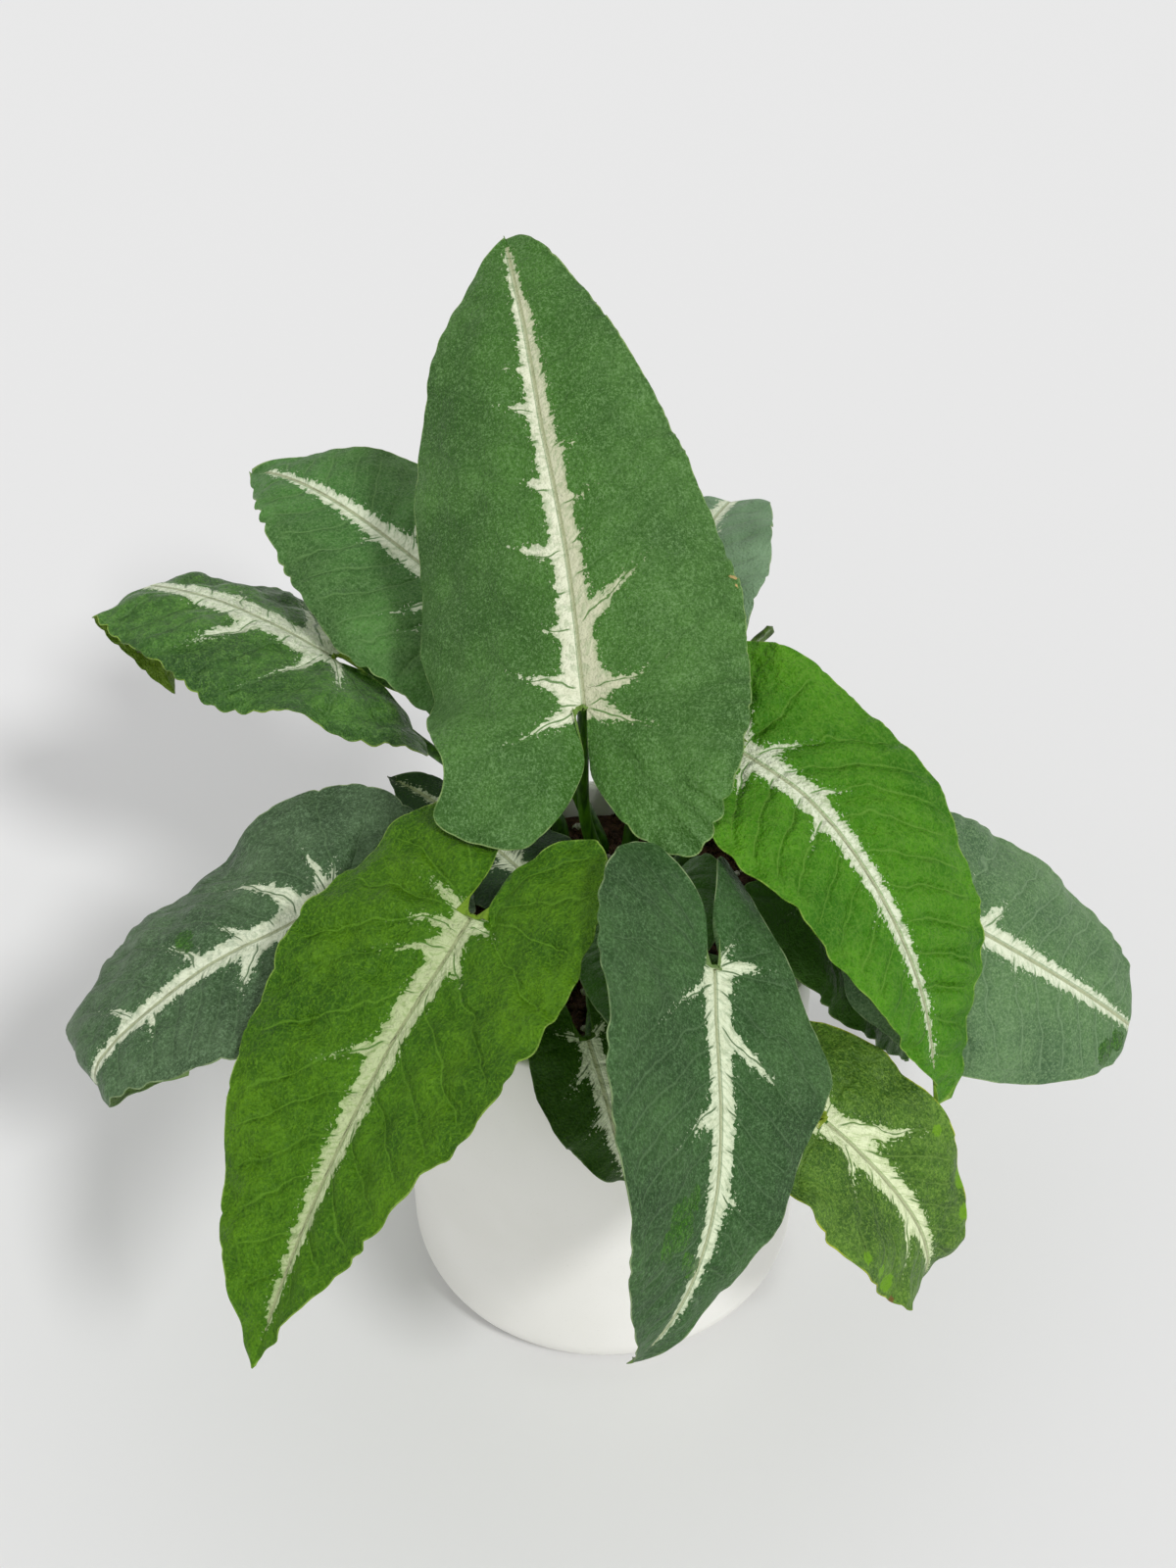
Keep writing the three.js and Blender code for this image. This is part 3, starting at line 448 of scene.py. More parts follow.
leaves = [
    dict(piece="leafTall", node="leaf_tall", joint=(-6, 6, 215), heading=95, pitch=33, roll=-18,
         length=157, halfWidths=(56, 49), lobes=(40, 46), lobeWidths=(0.8, 1), lobeCorners=(0.98, 0.74),
         widest=0.16, taper=(2, 1.1), blunt=0.7, lobeAt=0.54, sinus=(2.2, 0.6), arch=23, archPower=3.7,
         swing=10, twist=2, fold=1, curl=45, lobeFold=18, lobeLift=(22, 0), droop=17, wave=1.6, waves=6,
         phase=0, stalkBase=(0, 22), stalkVia=((-6, 18, 165),),
         midrib=((0, 0, 7), (5, 0.3, 8.4), (12, 0.3, 5.6), (22, 0.2, 4.8), (47, 0.6, 4.4), (85, 2.3, 3.5),
             (122, 2.2, 2.7), (151, 3.2, 1)),
         branches=(((5.3, 12.2, 18.5, 3.6), (21, 24, 9.5, 2.6), (46.8, 51.4, 16.2, 3.2),
             (66, 70, 9.5, 2.2), (92, 95.5, 11, 2.4), (104, 107, 7, 1.6)), ((5.5, 8.7, 19.6, 3.4),
             (22.3, 38.4, 19, 3.6), (60, 63, 9, 1.8), (75, 79, 8, 1.8))),
         lobeRays=(((122, 20, 3.2),), ((120, 18, 3.2),)), scallop=(0.3, 1.4), marginRipple=(0.3, 1.2),
         quilt=0.14, tanSpots=((35.1, -46.4, 1.5), (31.9, -46.9, 0.9)), veinSpacing=13,
         # the darker silver on the right is painted shade on that bank of the midrib's groove
         look=dict(silver=(232, 236, 208), silverShadedRight=(206, 208, 176), speckle=0.55, veinShow=0.2,
             quilting=0.07, pebbling=2.4, grain=0.7, dents=0.2)),
    dict(piece="leafBackLeft", node="leaf_back_left", joint=(-39, 82, 191), heading=139, pitch=16,
         roll=-10, length=105, halfWidths=(39, 38), lobes=(34, 34), taper=(1.7, 1.9), arch=47,
         archPower=2.7, swing=4, curl=27, lobeFold=2, phase=1, stalkBase=(-2, 38),
         stalkVia=((-18, 55, 166),),
         midrib=((0, 0, 6), (25.3, 0, 4.6), (60, -0.2, 3.2), (94, -0.3, 1.1)),
         branches=(((2, 8, 18.8, 2.6), (8, 16.8, 19.2, 2.4), (40, 43, 7, 1.6)), ((4, 12, 17, 2.8),
             (30, 36, 11, 2))), lobeRays=(((120, 15, 2.6),), ((118, 15, 2.6),)), scallop=(1.8, 1.2),
         look=dict(base=(58, 118, 40), light=(86, 140, 60), veinShow=0.6, quilting=0.3, dents=0.4,
             shine=0.3)),
    dict(piece="leafLeftUpper", node="leaf_left_upper", joint=(-84, 76, 178), heading=155, pitch=17,
         roll=14, length=107, halfWidths=(38, 36), lobes=(44, 40), widest=0.16, taper=(1.7, 1.6),
         lobeAt=0.58, sinus=(1.3, 1.3), arch=46, swing=-6, twist=-2, fold=-2, curl=28, lobeFold=11,
         droop=22, bendAt=0.61, bendSkew=-16, bendBy=129, bendRadius=5.5, phase=2, stalkBase=(-13, 34),
         stalkVia=((-17, 38, 148), (-40, 48, 152), (-66, 64, 163)),
         midrib=((0, 0.4, 7), (3.4, 0.4, 7.5), (12.5, -0.5, 7), (27, -0.8, 6.4), (40, -1.6, 5.6),
             (54, -1.5, 4.4), (78, -0.8, 2), (98, 0, 0.9)),
         branches=(((3, 10.3, 22.7, 3.6), (25, 38.5, 23.7, 4)), ((3.2, 26.2, 28.1, 4.4),
             (34, 40, 11, 2.4))), lobeRays=(((127, 20, 3),), ((118, 16, 3),)), scallop=(1.5, 1),
         scallopEvery=6, pucker=0.3, quilt=0.4,
         look=dict(gloss=0.12, deep=(30, 74, 8), light=(78, 132, 42), speck=(104, 150, 62), margin=(160,
             190, 70), under=(122, 150, 36), dents=1.0, shine=0.35, quilting=0.4)),
    dict(piece="leafLeftLower", node="leaf_left_lower", joint=(-77, -20, 165), heading=218, pitch=2,
         roll=-3, length=112, halfWidths=(41, 43), lobes=(37, 37), widest=0.15, taper=(1.4, 2.4),
         lobeAt=0.33, arch=41, archPower=1.4, swing=2, twist=24, fold=5, curl=37, lobeFold=24, droop=21,
         bendAt=0.685, bendBy=150, phase=3, stalkBase=(-20, -8), stalkVia=((-42, -16, 149),),
         green="grey",
         midrib=((0, 0, 6), (7.3, 0.6, 5.6), (20, 0.3, 4.8), (30, -0.8, 4.4), (40, -1.4, 4),
             (50, -0.8, 3.6), (70, 1, 2.6), (79.5, 3.6, 2.2), (102, 5, 0.9)),
         branches=(((5, 15, 15, 3), (22, 38, 15.5, 4), (58, 63, 8, 1.8)), ((10.5, 19.9, 28.2, 4),
             (27.1, 29.5, 12, 2.4), (41, 44.3, 15.7, 2.6), (64.5, 68.1, 11.8, 2))),
         lobeRays=(((115, 14, 3),), ((103, 17.6, 2.6), (127, 12.6, 2.6))),
         wetSpots=((38.6, -15.8, 3), (40.4, -13.4, 3)), scallop=(1, 2.4),
         look=dict(deep=(42, 68, 36), light=(84, 112, 74), dents=0.5, shine=0.3)),
    dict(piece="leafFrontLeft", node="leaf_front_left", joint=(-36, -51, 189), heading=238, pitch=-20,
         roll=6, length=127, halfWidths=(42, 43), lobes=(33, 38), taper=(1.8, 2.2), lobeAt=0.5,
         sinus=(3.2, 3.2), arch=21, swing=4, twist=12, fold=15, curl=13, lobeFold=17, lobeLift=(0, -13),
         droop=46, phase=4, stalkBase=(-11, -17), stalkVia=((-22, -32, 163),), green="bright",
         midrib=((0, 0, 5), (9, 0.4, 5), (39, -0.8, 4.6), (60, -0.5, 4), (85, 0, 3), (115, 0.9, 1)),
         branches=(((2, 4, 11, 2.8), (8.9, 19.5, 10.5, 2.4)), ((5.2, 7.4, 15.9, 2.8),
             (10.4, 16.7, 14.3, 2.4), (39.1, 48.8, 13.2, 2.4))), lobeRays=((), ((113.5, 19, 2.4),)),
         pucker=0.3, scallop=(0.6, 1.3), quilt=0.34, veinSpacing=13,
         # the darker silver on the right is painted shade on that bank of the midrib's groove
         look=dict(silver=(206, 218, 172), silverShadedRight=(190, 204, 154), shine=0.16, grain=0.6, dents=0.7,
             light=(82, 128, 8), speck=(96, 142, 20), vein=(98, 146, 34), veinShow=0.6, quilting=0.4)),
    dict(piece="leafFront", node="leaf_front", joint=(28, -64, 183), heading=271, pitch=-19, roll=-38,
         length=114, halfWidths=(37, 43), lobes=(38, 36), lobeWidths=(0.62, 1), taper=(1.3, 2.4),
         sinus=(2, 2), arch=86, archPower=1.9, swing=17, twist=-12, curl=4, lobeFold=6, droop=56,
         phase=5, stalkBase=(22, -14), stalkVia=((37, -36, 155),), green="grey", scallop=(0.3, 0.3),
         marginRipple=(0.3, 0.3),
         midrib=((0, -0.6, 4), (3, -1, 5), (30, -0.3, 4), (37, 0, 4.6), (58, 0.3, 3.9), (70, -0.4, 3.4),
             (84, -1.4, 2.4), (101, -3, 1.1)),
         branches=(((14.8, 29.9, 19.5, 3.2), (58, 62, 7, 1.6)), ((2, 13.6, 14.9, 1.6),
             (37, 45.9, 14, 3))), lobeRays=(((107, 16, 3.4), (149, 10, 2)), ()),
         wetSpots=((60, -9, 3), (64.5, -14, 4.6), (69, -12, 4.2), (71, -17, 4), (75.5, -7, 2.6),
             (78, -3.5, 2.8)),
         look=dict(base=(42, 86, 28), light=(62, 98, 48), deep=(34, 64, 26), speck=(92, 128, 82),
             silver=(220, 230, 198), shine=0.2, veinShow=0.3, quilting=0.2, dents=0.25)),
    dict(piece="leafRight", node="leaf_right", joint=(38, 5, 199), heading=-40, pitch=-5, roll=5,
         length=126, halfWidths=(38, 31), lobes=(39, 20), widest=0.16, taper=(2, 2.3), arch=84,
         archPower=1.1, swing=-17, twist=-17, fold=2, curl=1, lobeFold=-10, lobeLift=(24, 0), droop=50,
         phase=6, stalkBase=(16, 14), stalkVia=((24, 17, 164),), green="bright",
         midrib=((0, 0, 4.6), (21.4, 0.8, 4.4), (34, 0, 3.8), (70, -3.2, 2.8), (90, -4.6, 1.8),
             (107, -6.4, 0.9)),
         branches=(((4, 11, 15, 3), (22.4, 27, 9, 2)), ((4, 9, 14, 3), (30, 33.3, 9.5, 2),
             (58, 61, 6, 1.5))), lobeRays=(((118, 13, 2.6),), ((116, 12, 2.6),)), quilt=0.6,
         scallop=(1.4, 0.3), marginRipple=(0.7, 0.2), pucker=0.24,
         look=dict(dents=0.7, grain=0.6, quilting=0.5, deep=(46, 104, 5), light=(86, 148, 22), base=(68,
             132, 8), shine=0.14, veinShow=0.6)),
    dict(piece="leafFarRight", node="leaf_far_right", joint=(94, -16, 158), heading=-2, pitch=-33,
         roll=30, length=104, halfWidths=(39, 41), lobes=(28, 26), taper=(2.2, 1.9), arch=30, swing=8,
         twist=4, fold=0, curl=37, lobeFold=0, droop=80, bendAt=0.82, bendSkew=-3, bendBy=109, phase=7,
         stalkBase=(16, 4), stalkVia=((21, 5, 156), (36, 9, 169), (63, 2, 174)), green="grey",
         midrib=((0, 0, 4.6), (14, 0.6, 4.2), (50, -0.5, 3), (84, -1.7, 1.8), (98, -2, 0.8)),
         branches=(((3, 9, 14, 3), (14.9, 24, 13, 3)), ((5, 11, 14, 3), (28, 32, 7, 1.8))),
         lobeRays=both((120, 12, 2.4)), wetSpots=((78, -13.5, 4.2), (82, -8, 3.6)),
         look=dict(deep=(68, 100, 64), light=(98, 134, 84), base=(84, 124, 66), speck=(128, 160, 112),
             vein=(132, 162, 120), veinShow=0.45, dents=0.4), scallop=(1, 0.4)),
    dict(piece="leafFrontRight", node="leaf_front_right", joint=(59, -74, 135), heading=-21, pitch=-40,
         roll=5, length=85, halfWidths=(28, 30), lobes=(36, 27), lobeWidths=(1.15, 1), widest=0.19,
         taper=(1.7, 2.1), arch=84, archPower=1.8, swing=8, twist=24, fold=12, curl=6, lobeFold=0,
         droop=74, wave=1.8, phase=8, stalkBase=(12, -22), stalkVia=((36, -54, 150),), green="yellow",
         midrib=((0, 1, 5), (15, 0, 4.4), (35, -0.5, 4), (56, -0.8, 2.6), (70, 0, 1.1)),
         branches=(((3, 25.6, 17.1, 4),), ((8, 16.6, 11.5, 2.6), (38, 46.5, 12.1, 2.6))),
         lobeRays=(((115, 12, 2.6),), ((118, 12, 2.6),)), brownSpots=((50, -24, 2.4),), pucker=0.26,
         freshSpots=((43, -22, 3), (36, -23.5, 2.6), (28, -25, 2), (48, 19.5, 3), (57, 16, 2.6),
             (30, 21, 2)),
         look=dict(silver=(230, 240, 196), deep=(34, 70, 12), base=(66, 110, 20), light=(92, 134, 40),
             dents=0.5, quilting=0.3)),
    dict(piece="leafBackRight", node="leaf_back_right", joint=(18, 60, 204), heading=74, pitch=14,
         roll=-18, length=82, halfWidths=(27, 27), lobes=(20, 20), arch=36, swing=-4, lobeFold=4,
         bendAt=0.71, bendSkew=-11, bendBy=120, bendRadius=5, phase=9, stalkBase=(8, 36),
         stalkVia=((12, 47, 165),), green="grey",
         midrib=((0, 0, 4), (30, 0, 3.6), (59, -1, 3.2), (77, 0, 0.9)),
         branches=(((4, 10, 12, 2.4), (24, 30, 9, 2)), ((4, 10, 12, 2.4), (34, 40, 8, 2))),
         lobeRays=both((120, 10, 2.2)),
         look=dict(deep=(96, 128, 92), light=(132, 164, 128), base=(112, 148, 108), shine=0.35)),
    dict(piece="leafUnderRight", node="leaf_under_right", joint=(59, -14, 162), heading=-10, pitch=-46,
         roll=7, length=76, halfWidths=(27, 27), lobes=(19, 21), arch=41, curl=30, lobeFold=0, droop=110,
         phase=10, stalkBase=(26, -4), stalkVia=((42, -12, 150),), green="dark",
         midrib=((0, 0, 3.6), (40, 0, 2.6), (70, 0, 0.8)),
         branches=(((4, 9, 11, 2.2), (24, 30, 8, 1.8)), ((4, 9, 10, 2.2),)),
         lobeRays=both((120, 9, 2)), scallop=(1.2, 1.2), marginRipple=(0.7, 0.7),
         look=dict(deep=(50, 90, 22), light=(80, 130, 42), base=(66, 118, 30), margin=(150, 178, 110),
             dents=0.5)),
    dict(piece="leafOverRim", node="leaf_over_rim", joint=(-5, -60, 152), heading=-64, pitch=-45,
         roll=12, length=52, halfWidths=(18, 18), lobes=(17, 17), arch=64, curl=24, lobeFold=8, waves=4,
         phase=11, stalkBase=(-2, -26), stalkVia=((-4, -48, 149),), green="dark", veinSpacing=5.5,
         midrib=((0, 0, 2.8), (27, -0.4, 3), (46, 0, 0.9)),
         branches=(((6, 11, 8, 1.8),), ((4, 11, 8, 2), (20, 24, 6, 1.6))),
         lobeRays=both((120, 8, 1.8)),
         look=dict(deep=(26, 54, 2), light=(42, 80, 4), base=(38, 76, 2), shine=0.1, speck=(58, 92, 16))),
    dict(piece="leafUnderLeft", node="leaf_under_left", joint=(-24, 10, 148), heading=137, pitch=16,
         length=57, halfWidths=(20, 20), lobes=(18, 18), widest=0.16, taper=(1.6, 1.9), arch=23, swing=4,
         fold=5, lobeFold=18, waves=4, phase=12, stalkBase=(-10, 4), green="dark", veinSpacing=5.5,
         midrib=((0, 0, 3), (30, 0, 2.2), (52, 0, 0.7)), branches=both((4, 9, 9, 2)),
         lobeRays=both((120, 8, 1.8)),
         look=dict(deep=(40, 62, 42), light=(60, 86, 58), base=(50, 78, 44))),
    dict(piece="leafUnderFront", node="leaf_under_front", joint=(14, -23, 171), heading=-103, pitch=7,
         roll=13, length=57, halfWidths=(21, 21), lobes=(19, 19), arch=10, curl=24, lobeFold=12,
         droop=22, waves=4, phase=13, stalkBase=(8, -6), green="grey", veinSpacing=5.5,
         midrib=((0, 0, 3), (30, 0, 2.2), (52, 0, 0.7)), branches=both((4, 9, 9, 2)),
         lobeRays=both((120, 8, 1.8)),
         look=dict(deep=(54, 98, 26), light=(84, 138, 46), base=(72, 128, 36))),
]
bladeMesh = dict(
    ribShare=0.57,         # share of the margin that the midrib's ribs reach, the rest fans from the joint
    puckers=8, puckerLengths=(9, 24),
    cellAlong=1.15, cellAcross=1.25, innerCrowding=1.2,
    halfThickness=0.27, marginHalfThickness=0.12,
    sinusOpening=0.72,     # share of the margin from where it turns in beside the stalk
    scallopReach=8, rippleReach=6, edgeBlock=4000, nudge=0.2, gapSlopes=(0.03, 1.5), swellWidth=1.8,
    ribWidth=1.5, midribFadeIn=20, midribGroove=0.35, midribWidth=1.0, ribBelow=1.1,
    veinStart=0.55, veinCurve=0.006, leanReach=12.0, lobeVeinCurl=0.25)
soilTop = 128.0
stalk = dict(depth=11.65, uprightTo=(3, 9), smallTop=0.78, footRadius=2.8, topRadius=1.75, points=48,
             sides=20, ontoBlade=1.5, belowBlade=1.5)


def midribCentre(leaf, along):  # how far aside the midrib lies, fading in from the joint
    line = np.array(leaf["midrib"], float)
    return np.interp(along, line[:, 0], line[:, 1]) * smoothStep(along, 0, bladeMesh["midribFadeIn"])


bending = dict(
    shares=(-0.6, 1.05, 1200),  # of the length, from behind the lobes to past the tip, and how many
    lobeShares=(-0.1, 0.12),    # where the lobes' fold passes into the blade's
    waveReach=2.5, rightWaveShift=1.3, nudge=0.5)


# A function that turns flat points of the blade into places in space, as the part's source does
def bladeSurface(leaf):
    heading, pitch, roll = (math.radians(leaf[key]) for key in ("heading", "pitch", "roll"))
    alongWay = np.array([math.cos(pitch) * math.cos(heading), math.cos(pitch) * math.sin(heading),
                         math.sin(pitch)])
    level = np.array([-math.sin(heading), math.cos(heading), 0])
    above = np.cross(alongWay, level)
    leftWay = level * math.cos(roll) + above * math.sin(roll)
    upWay = above * math.cos(roll) - level * math.sin(roll)
    length = leaf["length"]
    shares = np.linspace(*bending["shares"])
    forward = np.maximum(shares, 0)
    down = np.where(shares >= 0, math.radians(leaf["arch"]) * forward ** leaf["archPower"],
                    math.radians(leaf["droop"]) * shares)
    aside = math.radians(leaf["swing"]) * forward
    ways = np.stack([np.cos(down) * np.cos(aside), np.cos(down) * np.sin(aside), -np.sin(down)], axis=1)
    steps = 0.5 * (shares[1] - shares[0]) * length * (ways[1:] + ways[:-1])
    line = np.vstack([np.zeros(3), np.cumsum(steps, axis=0)])
    line -= [np.interp(0, shares, column) for column in line.T]

    def bent(x, y, reach, around):
        offset = midribCentre(leaf, x)
        y = y - offset
        side = np.where(y < 0, -1.0, 1.0)
        width = np.where(y < 0, leaf["halfWidths"][1], leaf["halfWidths"][0])
        share = x / length
        lobeShare = 1 - smoothStep(share, *bending["lobeShares"])
        lobeFold = leaf["lobeFold"] + np.where(y < 0, leaf["lobeLift"][1], leaf["lobeLift"][0])
        fold = np.radians(leaf["fold"] + (lobeFold - leaf["fold"]) * lobeShare)
        curl = math.radians(leaf["curl"]) / width
        slope = fold - curl * np.abs(y)
        out = side * (np.sin(fold) - np.sin(slope)) / curl + offset
        turn = (2 * math.pi * leaf["waves"] * around + leaf["phase"]
                + np.where(side > 0, bending["rightWaveShift"], 0))
        wave = leaf["wave"] * reach ** bending["waveReach"] * np.sin(turn)
        rise = (np.cos(slope) - np.cos(fold)) / curl + wave
        twist = math.radians(leaf["twist"]) * share
        across = np.cos(twist) * out - np.sin(twist) * rise
        over = np.sin(twist) * out + np.cos(twist) * rise
        dip, turnAside = np.interp(share, shares, down), np.interp(share, shares, aside)
        local = np.stack([np.interp(share, shares, column) for column in line.T], axis=-1)
        local[..., 0] += -np.sin(turnAside) * across + np.sin(dip) * np.cos(turnAside) * over
        local[..., 1] += np.cos(turnAside) * across + np.sin(dip) * np.sin(turnAside) * over
        local[..., 2] += np.cos(dip) * over
        return np.array(leaf["joint"], float) + local @ np.stack([alongWay, leftWay, upWay])

    def foldedUnder(x, y, reach, around):
        skew = math.radians(leaf["bendSkew"])
        ax, ay = math.cos(skew), math.sin(skew)
        past = np.maximum((x - leaf["bendAt"] * length) * ax + y * ay, 0)[..., None]
        footX, footY = x - past[..., 0] * ax, y - past[..., 0] * ay
        foot = bent(footX, footY, reach, around)
        nudge = bending["nudge"]
        onward = (bent(footX + nudge * ax, footY + nudge * ay, reach, around)
                  - bent(footX - nudge * ax, footY - nudge * ay, reach, around))
        onward /= np.linalg.norm(onward, axis=-1, keepdims=True)
        beside = (bent(footX - nudge * ay, footY + nudge * ax, reach, around)
                  - bent(footX + nudge * ay, footY - nudge * ax, reach, around))
        normal = np.cross(onward, beside)
        normal /= np.linalg.norm(normal, axis=-1, keepdims=True)
        radius = leaf["bendRadius"]
        turned = np.minimum(past / radius, math.radians(leaf["bendBy"]))
        rest = past - radius * turned
        return (foot + onward * (radius * np.sin(turned) + rest * np.cos(turned))
                - normal * (radius * (1 - np.cos(turned)) + rest * np.sin(turned)))

    return foldedUnder if leaf["bendBy"] else bent


marginShape = dict(tipPoints=14, beatShift=0.35, beatKnots=24, strengths=(0.1, 1.3), strengthKnots=20,
                   sharpness=0.75, level=0.45)


# The margin of one half, from the tip round the lobe to the stalk, with its scallops
def marginLine(leaf, half, count):
    length, width = leaf["length"], leaf["halfWidths"][half]
    lobe, taper, sinus = leaf["lobes"][half], leaf["taper"][half], leaf["sinus"][half]
    widestAt = leaf["widest"] * length
    along = np.sin(np.linspace(1, 0, marginShape["tipPoints"]) * math.pi / 2)
    points = [(widestAt + (length - widestAt) * a, width * (1 - a ** taper) ** leaf["blunt"]) for a in along]
    lobeWidth = width * leaf["lobeWidths"][half]
    points += [(-0.35 * lobe, 0.9 * lobeWidth), (-0.76 * lobe, leaf["lobeCorners"][half] * lobeWidth),
               (-lobe, leaf["lobeAt"] * lobeWidth),
               (-0.86 * lobe, 0.5 * leaf["lobeAt"] * lobeWidth + 0.3 * sinus), (-0.45 * lobe, sinus),
               (-0.15 * lobe, 1.25 * sinus), (-0.6, 1.5 * sinus)]
    line = spacedAlong(splineThrough(points), count)
    lengths = lengthsAlong(line)
    way = np.gradient(line, axis=0)
    way /= np.linalg.norm(way, axis=1, keepdims=True)
    outward = np.stack([way[:, 1], -way[:, 0]], axis=1) * -1
    random = np.random.default_rng(int(leaf["phase"]) * 2 + half + 5)

    def drawn(low, high, knots):  # a random value that changes slowly round the margin
        return np.interp(lengths, np.linspace(0, lengths[-1], knots), random.uniform(low, high, knots))

    beat = lengths / leaf["scallopEvery"] + marginShape["beatShift"] * drawn(-1, 1, marginShape["beatKnots"])
    strength = drawn(*marginShape["strengths"], marginShape["strengthKnots"])
    calm = smoothStep(lengths, 2, 14) * smoothStep(lengths[-1] - lengths, 0.55 * lobe, 1.1 * lobe)
    tooth = 1 - np.abs(np.sin(math.pi * beat)) ** marginShape["sharpness"] - marginShape["level"]
    strength = strength * calm
    return line, outward * (tooth * leaf["scallop"][half] * strength)[:, None], beat, strength


# Where the veins run in one half: the lateral ones leave the midrib, the others fan into the lobe
def veinFinder(leaf, half):
    given = sorted(leaf["branches"][half])
    spacing, length = leaf["veinSpacing"], leaf["length"]

    def lean(aside):
        return 1 - np.exp(-aside / bladeMesh["leanReach"])

    def sweep(aside):
        return bladeMesh["veinStart"] * aside + bladeMesh["veinCurve"] * aside ** 2

    veins = [[foot, (tipAlong - foot - sweep(tipAside)) / lean(tipAside), tipAside, halfWidth]
             for foot, tipAlong, tipAside, halfWidth in given]
    if not veins or veins[0][0] > 9:
        veins.insert(0, [3.5, veins[0][1] if veins else 0, 0, 0])
    filled = [veins[0]]
    for vein in veins[1:] + [[length, veins[-1][1], 0, 0]]:
        last = filled[-1]
        extra = max(int(round((vein[0] - last[0]) / spacing)) - 1, 0)
        for k in range(1, extra + 1):
            t = k / (extra + 1)
            filled.append([last[0] + (vein[0] - last[0]) * t, last[1] + (vein[1] - last[1]) * t, 0, 0])
        filled.append(vein)
    feet, leans, reaches, widths = (np.array(column, float) for column in zip(*filled))
    angles = np.radians(np.array(leaf["lobeVeins"], float))
    samples = np.linspace(0.01, 70, 400)
    firstX = feet[0] + sweep(samples) + leans[0] * lean(samples)
    firstAngle = np.arctan2(samples, firstX)
    firstRadius = np.hypot(firstX, samples)

    def number(x, y):
        crossings = feet + sweep(y[:, None]) + leans * lean(y[:, None])
        steps = np.maximum(np.diff(crossings, axis=1), 2.0)
        crossings = np.concatenate([crossings[:, :1], crossings[:, :1] + np.cumsum(steps, axis=1)], axis=1)
        k = np.clip((crossings <= x[:, None]).sum(axis=1) - 1, 0, len(feet) - 2)
        rows = np.arange(len(x))
        result = k + (x - crossings[rows, k]) / (crossings[rows, k + 1] - crossings[rows, k])
        radius = np.hypot(x, y)
        curled = np.radians(bladeMesh["lobeVeinCurl"]) * radius
        angle = np.arctan2(y, x) + curled
        start = np.minimum(np.interp(radius, firstRadius, firstAngle) + curled, angles[0] - 0.25)
        fan = np.where(angle < angles[0], -(angle - start) / (angles[0] - start),
                       -1 - np.interp(angle, np.append(angles, 3.6), np.arange(len(angles) + 1)))
        return np.where(x < crossings[:, 0], fan, result)

    return number, reaches, widths


# How far inside the silver each point lies: along the midrib, lateral veins and rays in the lobes
silverShape = dict(narrowing=0.4, roundFoot=1.6, taper=1.25, blend=0.7, outside=9)


def silverDepth(leaf, half, x, y, number, gap, reaches, widths):
    line = np.array(leaf["midrib"], float)
    last = line[-1]
    stripe = np.interp(x, line[:, 0], line[:, 2])
    stripe = np.where(x > last[0], last[2] - (x - last[0]) * silverShape["narrowing"], stripe)
    depths = [stripe - np.hypot(y, np.minimum(x, 0) * silverShape["roundFoot"])]
    outside, blend = silverShape["outside"], silverShape["blend"]
    for k in np.nonzero(widths)[0]:
        width = widths[k] * (1 - (y / reaches[k]) ** silverShape["taper"])
        depths.append(np.where(number > -0.5, width - np.abs(number - k) * gap, -outside))
    radius = np.hypot(x, y)
    angle = np.degrees(np.arctan2(y, x)) + bladeMesh["lobeVeinCurl"] * radius
    for rayAngle, reach, width in leaf["lobeRays"][half]:
        width = width * (1 - (radius / reach) ** silverShape["taper"])
        depths.append(width - radius * np.abs(np.radians(angle - rayAngle)))
    total = np.log(np.sum(np.exp(np.clip(np.array(depths), -outside, 20) / blend), axis=0)) * blend
    return np.clip(total, -outside, outside)


def pointNormals(places, faces):
    triangles = np.array([f[:3] for f in faces] + [[f[0], f[2], f[3]] for f in faces if len(f) == 4])
    corners = places[triangles]
    faceNormals = np.cross(corners[:, 1] - corners[:, 0], corners[:, 2] - corners[:, 0])
    normals = np.zeros_like(places)
    for n in range(3):
        np.add.at(normals, triangles[:, n], faceNormals)
    return normals / np.maximum(np.linalg.norm(normals, axis=1, keepdims=True), 1e-12)


